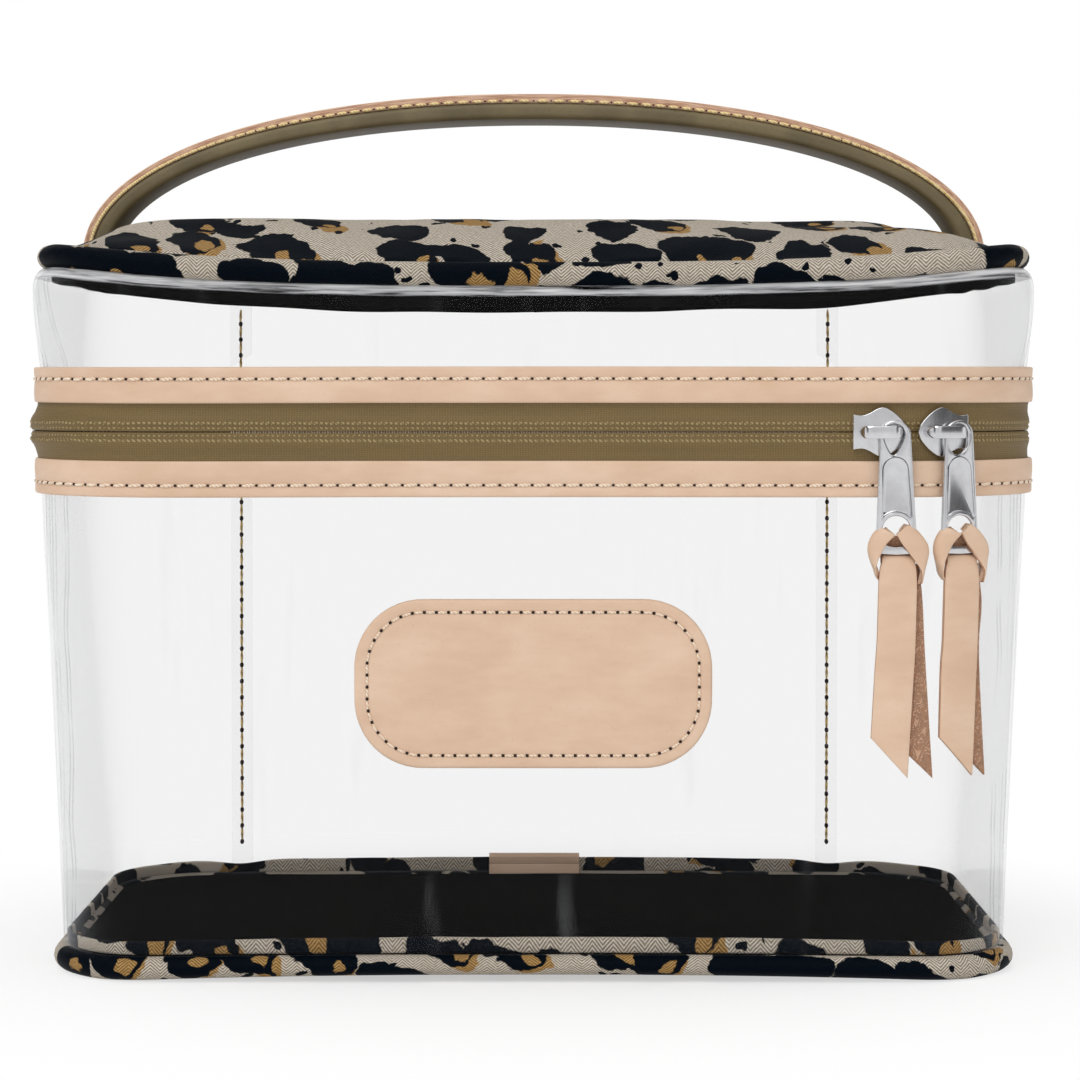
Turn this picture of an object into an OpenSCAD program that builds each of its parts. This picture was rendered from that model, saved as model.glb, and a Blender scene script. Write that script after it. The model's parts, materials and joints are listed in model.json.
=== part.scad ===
// Makeup train case: clear zipped case with padded printed ends, a carry handle and two zip sliders.
// Millimetres, +Z up. The front faces -Y and the origin is the middle of the flat underside.
// "Out" is a distance outward from the outer face of the clear walls, negative inside the case.

/* [Case] */
// Width over the clear walls at the zip band
case_w = 261.6; // [230:0.2:300]
// Depth over the clear walls at the zip band
case_d = 142; // [130:1:160]
// Plan radius of the clear walls' corners at the zip band
band_r = 41.2; // [34:0.2:46]
// Plan radius of the clear walls' corners at the bottom and the top
end_r = 26; // [22:1:30]
// How far each side wall leans in from the zip band to the bottom
foot_in_x = 6.7; // [4:0.1:9]
// How far the front and the back wall lean in from the zip band to the bottom
foot_in_y = 3.5; // [2:0.5:6]
// How far each side wall leans in from the zip band to the top
head_in_x = 4.2; // [0:0.1:6]
// How far the front and the back wall lean in from the zip band to the top
head_in_y = 1; // [0:0.5:3]
// Height of the zip's centre line above the table
zip_z = 141; // [130:1:160]
// Height of the top piping's middle above the zip's centre line
lid_h = 42.5; // [38:0.5:60]

/* [Clear sheet] */
// Thickness of the clear sheet
sheet_t = 0.9; // [0.6:0.1:1.2]
// Distance from each side wall to the edge of the clear back panel
seam_in = 39.8; // [36:0.2:46]
// Width of the overlap at each back seam
seam_lap = 6.5; // [5:0.5:8]
// Width of the step where a side sheet climbs onto the back panel
seam_step = 1.5; // [1:0.1:3]
// Gap left in the back panel at the fold line, above and below
fold_gap = 0.8; // [0.6:0.1:1.5]

/* [Zip and trims] */
// Height of the strip of zip tape that shows between the leather trims
zip_window = 14.6; // [14:0.2:17]
// Height of each leather trim
trim_h = 9.2; // [8:0.2:11]
// Thickness of each leather trim
trim_t = 1.6; // [1.4:0.1:2]
// Thickness of the zip tape
tape_t = 0.8; // [0.6:0.1:0.9]
// How far the tape is tucked under each trim
tape_tuck = 4.5; // [3:0.5:6]
// How far the clear sheet is tucked under each trim
sheet_tuck = 7.7; // [6:0.1:8]
// Gap between the two halves of the open zip
zip_gap = 0.8; // [0.8:0.1:1.2]
// Height of one half of the coil
coil_h = 3.4; // [3:0.1:3.6]
// Thickness of the coil behind the tape
coil_t = 2.2; // [1.8:0.1:2.4]

/* [Padded ends] */
// Diameter of the piping round the bottom and the top
piping_d = 6.2; // [5.6:0.2:7]
// Diameter of the cord inside the piping
piping_core_d = 4.6; // [3:0.2:5]
// Thickness of the printed cover
cover_t = 1.2; // [0.8:0.1:1.6]
// Thickness of the padding in the bottom
floor_pad_t = 2; // [1.5:0.1:4]
// Thickness of the stiff board in the bottom and in the lid
board_t = 2.6; // [2:0.1:3]
// Thickness of the black lining
lining_t = 1; // [0.6:0.1:1.4]
// Height of the binding that shows inside, beyond each lining
binding_h = 3.8; // [2:0.1:5]
// Height of the lid's binding that shows under its lining
lid_binding_h = 2; // [1.5:0.1:4]
// Height of the domed top over the middle of the top piping
dome_h = 13; // [9:0.5:18]
// Width of the rounded shoulder of the domed top
dome_shoulder = 30; // [20:1:40]

/* [Patch and tab] */
// Width of the blank leather patch
patch_w = 91; // [70:1:110]
// Height of the blank leather patch
patch_h = 43.2; // [36:0.2:50]
// Corner radius of the patch
patch_r = 17.5; // [12:0.5:18]
// Thickness of the patch
patch_t = 1.8; // [1.2:0.1:2]
// Height of the patch's middle above the table
patch_z = 77; // [70:1:85]
// Width of the small leather tab over the binding's join
tab_w = 27; // [18:1:36]
// Thickness of that tab
tab_t = 1.2; // [0.8:0.1:1.6]

/* [Handle] */
// How far the handle's feet stand out past the top of the side walls, negative inside them
handle_out = -3; // [-6:0.1:1.5]
// How far the handle's feet are let into the padded top, below the middle of the top piping
handle_sink = 0.4; // [0.2:0.1:0.8]
// Height of the handle's crown above the middle of the top piping
handle_rise = 48.4; // [44:0.1:60]
// Thickness of the leather strip on top of the handle
strap_t = 2.4; // [2:0.1:3]
// Width of the leather strip
strap_w = 22; // [16:1:23]
// Thickness of the wrapped handle body
grip_t = 4.4; // [4:0.1:8]
// Width of the wrapped handle body
grip_w = 24.5; // [24:0.5:30]
// Fullness of the arch, where 2 is an ellipse
arch_power = 2.15; // [2:0.05:2.4]

/* [Zip sliders] */
// Distance of the left slider from the start of the right front corner
slider_from_corner = 1.8; // [1.8:0.1:8]
// How far round the corner the right slider stands, in degrees
right_slider_turn = 19.4; // [18:0.2:24]
// Length of a slider along the zip
slider_l = 14; // [12:0.5:14]
// Height of a slider's flat tail
slider_tail_h = 9.1; // [8:0.1:10]
// Radius of a slider's round shoulder and nose
slider_r = 6.3; // [5.5:0.1:6.6]
// Thickness of each slider plate
slider_t = 1; // [0.8:0.1:1.2]
// Length of a slider's inner plate and rim
channel_l = 10; // [8:0.5:11]
// Thickness of the web that parts the two halves of the zip
web_t = 0.6; // [0.4:0.05:0.6]
// Diameter of the two posts of the bail
post_d = 2.5; // [2:0.1:2.6]
// Distance between the two posts
post_gap = 8.6; // [8:0.1:9]
// Width of the bail
bail_w = 3.2; // [2.8:0.1:3.4]
// Thickness of the bail's bridge
bail_t = 1.4; // [1:0.1:1.6]
// Space between the slider plate and the bail's bridge
bail_space = 3; // [2.6:0.1:3.4]

/* [Pull tabs] */
// Thickness of a pull tab
pull_t = 1.3; // [1:0.1:1.4]
// Width of a pull tab at its eye
pull_eye_w = 8; // [7.6:0.1:9]
// Width of a pull tab at its lower end
pull_foot_w = 10.4; // [9.6:0.1:11]
// Distance from the post to the bar at the lower end
pull_l = 30.4; // [26:0.2:36]
// Width of the eye's hole
eye_hole_w = 5; // [4.8:0.1:5.4]
// Length of the eye's hole
eye_hole_l = 7.5; // [6:0.1:8]
// Width of the window over the bar
window_w = 6.9; // [6.4:0.1:7.2]
// Height of the window over the bar
window_h = 8.6; // [7:0.1:10]
// Diameter of the bar
bar_d = 1.5; // [1.2:0.1:1.6]
// Depth of the shallow recess in the tab's face
recess_t = 0.25; // [0.1:0.05:0.4]

/* [Leather tassels] */
// Thickness of the leather thong
thong_t = 1.6; // [1.2:0.1:1.7]
// Width of the thong's two tails
tail_w = 9.4; // [8:0.1:9.6]
// Length from the bar to the tip of the front tail
tail_l = 56.6; // [45:0.2:58]
// Height of the slanted cut at the tails' tips
tail_cut = 9.6; // [6:0.1:12]
// How far the front tail swings to the left at its tip
front_sway = 1.6; // [0:0.1:2]
// How far the rear tail swings to the right at its tip
rear_sway = 4.4; // [3:0.1:4.6]
// Width of the folded knot
knot_w = 14.2; // [12:0.1:14.4]
// Height of the folded knot
knot_h = 10.4; // [8:0.1:12]

/* [Hidden] */

$fn = 64;
loft_fn = 96;
corner_steps = 24;
sliver = 0.01;
cut = 2;

// Running clearances
soft_gap = 0.3;
post_play = 0.1;
bar_play = 0.06;

// Bottom end: the piping lies on the table, and the walls stand on its top line
foot_x = case_w / 2 - foot_in_x;
foot_y = case_d / 2 - foot_in_y;
wall_foot_z = piping_d;
edge_out = -sheet_t / 2 - piping_d / 2;
floor_z = cover_t + floor_pad_t + board_t + lining_t;

// Top end: the walls stop under the piping
head_x = case_w / 2 - head_in_x;
head_y = case_d / 2 - head_in_y;
head_z = zip_z + lid_h;
wall_head_z = head_z - piping_d / 2;
handle_half = head_x + handle_out;
handle_foot_z = head_z - handle_sink;
lid_board_z = head_z - cover_t - board_t;
lid_lining_z = lid_board_z - lining_t;
lid_binding_z = lid_lining_z - lid_binding_h;
dome_rings = 8;

// Zip band
trim_top_z = zip_z - zip_window / 2;
trim_foot_z = trim_top_z - trim_h;
upper_trim_z = zip_z + zip_window / 2;
sheet_stop = zip_window / 2 + trim_h - sheet_tuck;
tape_half = zip_window / 2 + tape_tuck;
corner_x = case_w / 2 - band_r;
corner_y = case_d / 2 - band_r;
back_panel_half = case_w / 2 - seam_in;
back_edge = back_panel_half + soft_gap;
left_slider_x = corner_x - slider_from_corner;

// Sliders, in their own frame: x along the zip, y up, z outward from the clear wall
front_plate_z = tape_t + 0.2;
bail_z = front_plate_z + slider_t + bail_space;
inner_plate_z = -coil_t - 0.8;
flange_tip_z = -1.2;
flange_y = zip_gap / 2 + coil_h + soft_gap;
pull_z = front_plate_z + slider_t + (bail_space - pull_t) / 2;
post_x = post_gap / 2;
pull_off = -0.8;
bar_z = pull_z + pull_t / 2;
knot_clear = 0.4;

function mix(a, b, t) = a + (b - a) * t;

// Share of the way from the foot to the band
function foot_share(z) = (z - wall_foot_z) / (trim_foot_z - wall_foot_z);

// Points round a rounded rectangle at a height, anticlockwise from above
function ring(half_x, half_y, r, z) = [
    for (quarter = [0 : 3], i = [0 : corner_steps])
        let (a = 90 * (quarter + i / corner_steps),
             side = quarter == 0 || quarter == 3 ? 1 : -1,
             end = quarter < 2 ? 1 : -1)
        [side * (half_x - r) + r * cos(a), end * (half_y - r) + r * sin(a), z]
];

// The clear walls' rings: leaning out from the foot, upright at the band, leaning in to the head's seam
function foot_ring(z, out) =
    let (t = foot_share(z))
    ring(mix(foot_x, case_w / 2, t) + out, mix(foot_y, case_d / 2, t) + out, mix(end_r, band_r, t) + out, z);
function zip_ring(z, out) = ring(case_w / 2 + out, case_d / 2 + out, band_r + out, z);
function seam_ring(z, out) = ring(head_x + out, head_y + out, end_r + out, z);

// Rounded rectangle centred on the axis
module plan(half_x, half_y, r) {
    square([2 * half_x, 2 * (half_y - r)], center = true);
    square([2 * (half_x - r), 2 * half_y], center = true);
    for (side = [-1, 1], end = [-1, 1])
        translate([side * (half_x - r), end * (half_y - r)]) circle(r);
}

module band_plan(out) {
    plan(case_w / 2 + out, case_d / 2 + out, band_r + out);
}

module foot_plan(out) {
    plan(foot_x + out, foot_y + out, end_r + out);
}

module head_plan(out) {
    plan(head_x + out, head_y + out, end_r + out);
}

module slab(z, t = sliver) {
    translate([0, 0, z]) linear_extrude(t) children();
}

// Solid through rings of as many points each, from the lowest up
module loft(rings) {
    n = len(rings[0]);
    last = (len(rings) - 1) * n;
    polyhedron(
        points = [for (one = rings) each one],
        faces = concat(
            [[for (i = [0 : n - 1]) i]],
            [for (low = [0 : n : last - n], i = [0 : n - 1])
                let (j = (i + 1) % n)
                each [[low + i, low + n + i, low + n + j], [low + i, low + n + j, low + j]]],
            [[for (i = [n - 1 : -1 : 0]) last + i]]
        )
    );
}

module lower_form(out) {
    loft([foot_ring(wall_foot_z - cut, out), foot_ring(trim_foot_z, out), zip_ring(zip_z, out)]);
}

module upper_form(out) {
    loft([zip_ring(zip_z, out), zip_ring(upper_trim_z + trim_h, out), seam_ring(lid_binding_z, out),
          seam_ring(wall_head_z + cut, out)]);
}

// Everything between two heights
module height_zone(z0, z1) {
    translate([0, 0, (z0 + z1) / 2]) cube([2 * case_w, 2 * case_d, z1 - z0], center = true);
}

// Sheet of the lower or the upper form, between two distances out and two heights
module lower_shell(out0, out1, z0, z1) {
    intersection() {
        difference() {
            lower_form(out1);
            lower_form(out0);
        }
        height_zone(z0, z1);
    }
}

module upper_shell(out0, out1, z0, z1) {
    intersection() {
        difference() {
            upper_form(out1);
            upper_form(out0);
        }
        height_zone(z0, z1);
    }
}

// Box that holds the back wall up to a distance either side of the middle
module back_zone(half) {
    translate([-half, 0, -cut]) cube([2 * half, case_d, head_z + 2 * cut]);
}

// Two upright strips of the back wall, between two distances from the middle
module seam_zone(x0, x1) {
    for (side = [-1, 1])
        translate([side * (x0 + x1) / 2 - (x1 - x0) / 2, 0, -cut])
            cube([x1 - x0, case_d, head_z + 2 * cut]);
}

// Ring that follows a rounded rectangle at a distance out, cut away across the back
module band_ring(out0, out1, z, h) {
    difference() {
        translate([0, 0, z]) linear_extrude(h) difference() {
            band_plan(out1);
            band_plan(out0);
        }
        back_zone(back_edge);
    }
}

// Round cord along a rounded rectangle
module cord_ring(half_x, half_y, r, d, z) {
    translate([0, 0, z]) {
        for (side = [-1, 1], end = [-1, 1])
            translate([side * (half_x - r), end * (half_y - r), 0])
                mirror([side < 0 ? 1 : 0, 0, 0]) mirror([0, end < 0 ? 1 : 0, 0])
                    rotate_extrude(angle = 90) translate([r, 0]) circle(d = d);
        for (end = [-1, 1])
            translate([0, end * half_y, 0]) rotate([0, 90, 0])
                cylinder(h = 2 * (half_x - r), d = d, center = true);
        for (side = [-1, 1])
            translate([side * half_x, 0, 0]) rotate([90, 0, 0])
                cylinder(h = 2 * (half_y - r), d = d, center = true);
    }
}

module foot_cord(d) {
    cord_ring(foot_x - sheet_t / 2, foot_y - sheet_t / 2, end_r - sheet_t / 2, d, piping_d / 2);
}

module head_cord(d) {
    cord_ring(head_x - sheet_t / 2, head_y - sheet_t / 2, end_r - sheet_t / 2, d, head_z);
}

// Bottom end, from the table up
module base_panel() {
    color([0.69, 0.64, 0.57]) slab(0, cover_t) foot_plan(edge_out);
}

module base_padding() {
    color([0.85, 0.84, 0.8]) slab(cover_t, floor_pad_t) foot_plan(edge_out);
}

module base_board() {
    color([0.35, 0.3, 0.26]) slab(cover_t + floor_pad_t, board_t) foot_plan(edge_out);
}

module floor_lining() {
    color([0.06, 0.06, 0.06]) slab(floor_z - lining_t, lining_t) foot_plan(edge_out);
}

module base_piping() {
    color([0.69, 0.64, 0.57]) difference() {
        foot_cord(piping_d);
        foot_cord(piping_core_d);
    }
}

module base_piping_core() {
    color([0.9, 0.9, 0.88]) foot_cord(piping_core_d);
}

module base_binding() {
    color([0.2, 0.19, 0.2]) slab(wall_foot_z, floor_z + binding_h - wall_foot_z) difference() {
        foot_plan(-sheet_t);
        foot_plan(edge_out);
    }
}

// Leather tab folded over the binding at the middle of the back
module base_binding_tab() {
    y0 = foot_y + edge_out - tab_t;
    color([0.87, 0.73, 0.61]) difference() {
        translate([-tab_w / 2, y0, floor_z])
            cube([tab_w, foot_y - sheet_t - y0, binding_h + tab_t]);
        translate([-tab_w, y0 + tab_t, floor_z - cut])
            cube([2 * tab_w, foot_y, binding_h + cut]);
    }
}

// Clear walls: the side sheets' edges step up and lap over the outside of the back panel
module lower_wall() {
    lap_top_z = trim_foot_z - soft_gap;
    color([0.93, 0.95, 0.96, 0.35]) {
        difference() {
            lower_shell(-sheet_t, 0, wall_foot_z, zip_z - sheet_stop);
            back_zone(back_edge);
        }
        intersection() {
            lower_shell(0, sheet_t, wall_foot_z, lap_top_z);
            seam_zone(back_edge - seam_lap, back_edge + seam_step / 2);
        }
        intersection() {
            lower_shell(-sheet_t, sheet_t, wall_foot_z, lap_top_z);
            seam_zone(back_edge, back_edge + seam_step);
        }
    }
}

module lower_back_panel() {
    color([0.93, 0.95, 0.96, 0.35]) intersection() {
        lower_shell(-sheet_t, 0, wall_foot_z, zip_z - fold_gap);
        back_zone(back_panel_half);
    }
}

module upper_wall() {
    lap_foot_z = upper_trim_z + trim_h + soft_gap;
    color([0.93, 0.95, 0.96, 0.35]) {
        difference() {
            upper_shell(-sheet_t, 0, zip_z + sheet_stop, wall_head_z);
            back_zone(back_edge);
        }
        intersection() {
            upper_shell(0, sheet_t, lap_foot_z, wall_head_z);
            seam_zone(back_edge - seam_lap, back_edge + seam_step / 2);
        }
        intersection() {
            upper_shell(-sheet_t, sheet_t, lap_foot_z, wall_head_z);
            seam_zone(back_edge, back_edge + seam_step);
        }
    }
}

module upper_back_panel() {
    color([0.93, 0.95, 0.96, 0.35]) intersection() {
        upper_shell(-sheet_t, 0, zip_z + fold_gap, wall_head_z);
        back_zone(back_panel_half);
    }
}

// Leather trims, thinned where they lie over the tape
module lower_trim() {
    color([0.87, 0.73, 0.61]) difference() {
        band_ring(0, trim_t, trim_foot_z, trim_h);
        band_ring(-cut, tape_t, zip_z - tape_half, tape_half);
    }
}

module upper_trim() {
    color([0.87, 0.73, 0.61]) difference() {
        band_ring(0, trim_t, upper_trim_z, trim_h);
        band_ring(-cut, tape_t, zip_z, tape_half);
    }
}

module lower_zip_tape() {
    color([0.45, 0.37, 0.22]) band_ring(0, tape_t, zip_z - tape_half, tape_half - zip_gap / 2);
}

module upper_zip_tape() {
    color([0.45, 0.37, 0.22]) band_ring(0, tape_t, zip_z + zip_gap / 2, tape_half - zip_gap / 2);
}

module lower_zip_coil() {
    color([0.4, 0.33, 0.2]) band_ring(-coil_t, 0, zip_z - zip_gap / 2 - coil_h, coil_h);
}

module upper_zip_coil() {
    color([0.4, 0.33, 0.2]) band_ring(-coil_t, 0, zip_z + zip_gap / 2, coil_h);
}

// Blank leather patch, laid on the leaning front wall
module name_patch() {
    t = foot_share(patch_z);
    lean = atan(foot_in_y / (trim_foot_z - wall_foot_z));
    color([0.87, 0.73, 0.61]) translate([0, -mix(foot_y, case_d / 2, t), patch_z])
        rotate([90 + lean, 0, 0]) linear_extrude(patch_t) plan(patch_w / 2, patch_h / 2, patch_r);
}

// Top end, from the piping up
module lid_piping() {
    color([0.69, 0.64, 0.57]) difference() {
        head_cord(piping_d);
        head_cord(piping_core_d);
    }
}

module lid_piping_core() {
    color([0.9, 0.9, 0.88]) head_cord(piping_core_d);
}

// Pillow with an elliptical shoulder, drawn in by a distance on its sides and top
module dome(in_by, drop = 0) {
    rise = dome_h - in_by;
    run = dome_shoulder - in_by;
    hull() {
        slab(head_z - cover_t - drop, cover_t + drop) head_plan(edge_out - in_by, $fn = loft_fn);
        for (i = [1 : dome_rings]) {
            a = 90 * i / dome_rings;
            slab(head_z + rise * sin(a) - sliver)
                plan(head_x + edge_out - in_by - run * (1 - cos(a)),
                     head_y + edge_out - in_by - run * (1 - cos(a)),
                     end_r + edge_out - in_by + run * (1 - cos(a)) / 2, $fn = loft_fn);
        }
    }
}

module lid_panel() {
    color([0.69, 0.64, 0.57]) difference() {
        dome(0);
        dome(cover_t, cut);
        handle_room();
    }
}

module lid_padding() {
    color([0.85, 0.84, 0.8]) difference() {
        dome(cover_t);
        handle_room();
    }
}

module lid_board() {
    color([0.35, 0.3, 0.26]) slab(lid_board_z, board_t) head_plan(edge_out);
}

module lid_lining() {
    color([0.06, 0.06, 0.06]) slab(lid_lining_z, lining_t) head_plan(edge_out);
}

module lid_binding() {
    color([0.08, 0.08, 0.08]) slab(lid_binding_z, wall_head_z - lid_binding_z) difference() {
        head_plan(-sheet_t);
        head_plan(edge_out);
    }
}

// Outline of the arch, drawn in by a distance, with straight feet down to a height
module arch_outline(in_by, sole_z) {
    steps = 60;
    spring_z = head_z + piping_d / 2 + 0.4;
    half = handle_half - in_by;
    rise = handle_rise - piping_d / 2 - 0.4 - in_by;
    polygon(concat(
        [[half, sole_z]],
        [for (i = [0 : steps])
            let (a = 180 * i / steps, c = cos(a))
            [sign(c) * half * pow(abs(c), 2 / arch_power), spring_z + rise * pow(sin(a), 2 / arch_power)]],
        [[-half, sole_z]]));
}

module arch_strip(in0, in1, w) {
    rotate([90, 0, 0]) translate([0, 0, -w / 2]) linear_extrude(w) difference() {
        arch_outline(in0, handle_foot_z);
        arch_outline(in1, handle_foot_z - cut);
    }
}

// Straight slots that the handle's ends take out of the padded top
module handle_room() {
    inner = handle_half - strap_t - grip_t - 2 * soft_gap;
    for (side = [-1, 1])
        scale([side, 1, 1]) translate([inner, -grip_w / 2, handle_foot_z])
            cube([head_x - inner, grip_w, dome_h + cut]);
}

module handle_grip() {
    color([0.43, 0.38, 0.27]) difference() {
        arch_strip(strap_t, strap_t + grip_t, grip_w);
        head_cord(piping_d);
    }
}

module handle_strap() {
    color([0.87, 0.73, 0.61]) difference() {
        arch_strip(0, strap_t, strap_w);
        head_cord(piping_d);
    }
}

// Places a slider's frame on the front wall, or part of the way round the right front corner
module on_front() {
    translate([left_slider_x, -case_d / 2, zip_z]) rotate([90, 0, 0]) children();
}

module on_corner() {
    translate([corner_x, -corner_y, zip_z]) rotate([0, 0, right_slider_turn])
        translate([0, -band_r, 0]) rotate([90, 0, 0]) children();
}

// Slider with its tail towards -x: two plates, the web between the zip's halves, one rim and the bail
module slider() {
    tail_x = -slider_l / 2;
    nose_x = slider_l / 2 - slider_r;
    translate([0, 0, front_plate_z]) linear_extrude(slider_t) {
        translate([tail_x, -slider_tail_h / 2]) square([slider_l / 2 + nose_x, slider_tail_h]);
        translate([nose_x, 0]) circle(slider_r);
    }
    translate([-channel_l / 2, -flange_y - slider_t, inner_plate_z - slider_t])
        cube([channel_l, flange_y + slider_t + coil_h, slider_t]);
    translate([-channel_l / 2, -flange_y - slider_t, inner_plate_z - slider_t])
        cube([channel_l, slider_t, flange_tip_z - inner_plate_z + slider_t]);
    translate([1, -web_t / 2, inner_plate_z - slider_t / 2])
        cube([channel_l / 2 - 1, web_t, front_plate_z - inner_plate_z + slider_t]);
    for (side = [-1, 1])
        translate([side * post_x, 0, front_plate_z + slider_t / 2])
            cylinder(h = bail_z - front_plate_z, d = post_d);
    translate([0, 0, bail_z]) linear_extrude(bail_t) {
        square([post_gap, bail_w], center = true);
        for (side = [-1, 1]) translate([side * post_x, 0]) circle(d = bail_w);
    }
}

// Pull tab hanging from the post at x = 0: an eye, a tapered face with a recess, and a window over a bar
module pull() {
    eye_y = post_d / 2 + post_play + 0.35 - eye_hole_w / 2;
    rail_y = -pull_l - bar_d / 2;
    window_y = -pull_l + bar_d / 2;
    eye_foot = eye_y + eye_hole_w / 2 - eye_hole_l;
    eye_tip_r = eye_hole_w / 3;
    recess_w0 = pull_eye_w - 2;
    recess_w1 = pull_foot_w - 2.4;
    recess_top = eye_foot - 1.6;
    recess_foot = window_y + window_h + 0.8;
    difference() {
        translate([0, 0, pull_z]) linear_extrude(pull_t) translate([pull_off, 0]) difference() {
            union() {
                translate([0, eye_y]) circle(d = pull_eye_w);
                polygon([[-pull_eye_w / 2, eye_y], [pull_eye_w / 2, eye_y],
                         [pull_foot_w / 2, rail_y], [-pull_foot_w / 2, rail_y]]);
            }
            translate([0, eye_y]) circle(d = eye_hole_w);
            translate([0, eye_foot + eye_tip_r]) circle(eye_tip_r);
            polygon([[-eye_hole_w / 2, eye_y], [eye_hole_w / 2, eye_y],
                     [eye_tip_r, eye_foot + eye_tip_r], [-eye_tip_r, eye_foot + eye_tip_r]]);
            translate([-window_w / 2, rail_y - cut])
                square([window_w, window_y + window_h - window_w / 2 - rail_y + cut]);
            translate([0, window_y + window_h - window_w / 2]) circle(d = window_w);
        }
        translate([pull_off, 0, pull_z + pull_t - recess_t]) linear_extrude(cut)
            polygon([[-recess_w0 / 2 + 1, recess_top], [recess_w0 / 2 - 1, recess_top],
                     [recess_w0 / 2, recess_top - 2], [recess_w1 / 2, recess_foot],
                     [-recess_w1 / 2, recess_foot], [-recess_w0 / 2, recess_top - 2]]);
    }
    translate([pull_off, -pull_l, bar_z]) rotate([0, 90, 0])
        cylinder(h = window_w + 2 * 0.6, d = bar_d, center = true);
}

// Leather thong looped over the pull tab's bar: a knot with two tails
module tassel() {
    knot_z = bar_z + pull_t / 2 + knot_clear;
    loop_w = window_w - 2 * soft_gap;
    rear_z = trim_t + soft_gap;
    knot_foot = -pull_l - 0.2 - knot_h;
    front_tip = -pull_l - tail_l;
    difference() {
        translate([pull_off - loop_w / 2, -pull_l - 2.4, rear_z])
            cube([loop_w, 4.4, knot_z + thong_t - rear_z]);
        translate([pull_off, -pull_l, bar_z]) rotate([0, 90, 0])
            cylinder(h = loop_w + cut, d = bar_d + 2 * bar_play, center = true);
    }
    translate([pull_off, 0, knot_z]) linear_extrude(thong_t) {
        polygon([[-knot_w / 2, -pull_l - 3], [-knot_w / 2 + 1, -pull_l - 0.2], [knot_w / 2 - 1, -pull_l - 0.2],
                 [knot_w / 2, -pull_l - 3], [tail_w / 2 + 0.6, knot_foot], [-tail_w / 2 - 0.6, knot_foot]]);
        polygon([[-tail_w / 2, knot_foot + 1], [tail_w / 2, knot_foot + 1],
                 [tail_w / 2 - front_sway, front_tip], [-tail_w / 2 - front_sway, front_tip + tail_cut]]);
    }
    translate([pull_off, 0, rear_z]) linear_extrude(thong_t)
        polygon([[-tail_w / 2, -pull_l - 2], [tail_w / 2, -pull_l - 2],
                 [tail_w / 2 + rear_sway, front_tip], [-tail_w / 2 + rear_sway, front_tip + tail_cut]]);
}

module slider_left() {
    color([0.78, 0.78, 0.79]) on_front() slider();
}

module slider_right() {
    color([0.78, 0.78, 0.79]) on_corner() mirror([1, 0, 0]) slider();
}

module pull_left() {
    color([0.75, 0.75, 0.77]) on_front() translate([post_x, 0, 0]) pull();
}

module pull_right() {
    color([0.75, 0.75, 0.77]) on_corner() translate([post_x, 0, 0]) pull();
}

module tassel_left() {
    color([0.87, 0.73, 0.61]) on_front() translate([post_x, 0, 0]) tassel();
}

module tassel_right() {
    color([0.87, 0.73, 0.61]) on_corner() translate([post_x, 0, 0]) tassel();
}

base_panel();
base_padding();
base_board();
floor_lining();
base_piping();
base_piping_core();
base_binding();
base_binding_tab();
lower_wall();
lower_back_panel();
lower_trim();
lower_zip_tape();
lower_zip_coil();
name_patch();
upper_wall();
upper_back_panel();
upper_trim();
upper_zip_tape();
upper_zip_coil();
lid_piping();
lid_piping_core();
lid_panel();
lid_padding();
lid_board();
lid_lining();
lid_binding();
handle_grip();
handle_strap();
slider_left();
slider_right();
pull_left();
pull_right();
tassel_left();
tassel_right();
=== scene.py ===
import json
import math

import bmesh
import bpy
from mathutils import Matrix, Vector, noise


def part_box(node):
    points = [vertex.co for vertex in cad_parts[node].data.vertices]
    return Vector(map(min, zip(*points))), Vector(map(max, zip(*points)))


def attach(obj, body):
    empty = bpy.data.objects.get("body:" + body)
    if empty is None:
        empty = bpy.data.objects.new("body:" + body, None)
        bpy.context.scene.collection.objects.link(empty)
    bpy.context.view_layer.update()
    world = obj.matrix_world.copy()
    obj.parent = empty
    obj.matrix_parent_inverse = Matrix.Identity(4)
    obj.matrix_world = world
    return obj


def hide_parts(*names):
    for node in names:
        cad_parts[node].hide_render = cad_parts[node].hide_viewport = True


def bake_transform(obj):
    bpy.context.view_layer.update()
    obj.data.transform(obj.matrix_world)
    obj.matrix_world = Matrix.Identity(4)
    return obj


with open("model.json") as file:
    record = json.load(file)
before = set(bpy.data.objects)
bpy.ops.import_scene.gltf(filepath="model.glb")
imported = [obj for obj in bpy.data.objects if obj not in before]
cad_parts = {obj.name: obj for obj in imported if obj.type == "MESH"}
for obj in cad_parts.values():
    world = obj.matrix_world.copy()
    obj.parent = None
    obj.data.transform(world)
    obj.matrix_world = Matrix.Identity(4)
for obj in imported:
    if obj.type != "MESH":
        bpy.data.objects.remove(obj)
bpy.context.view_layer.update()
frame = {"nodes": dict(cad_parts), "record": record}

# Shapes are worked out in millimetres and written to their meshes in metres.
mm = 0.001


def span(node, axis):
    low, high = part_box(node)
    return low[axis] / mm, high[axis] / mm


def mix(a, b, t):
    return a + (b - a) * t


def ease(low, high, x):
    t = min(1.0, max(0.0, (x - low) / (high - low)))
    return t * t * (3 - 2 * t)


def wave(x, y, seed=0.0):
    return noise.noise(Vector((x, y, seed)))


# ---- the form that every sewn piece follows ----

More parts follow.
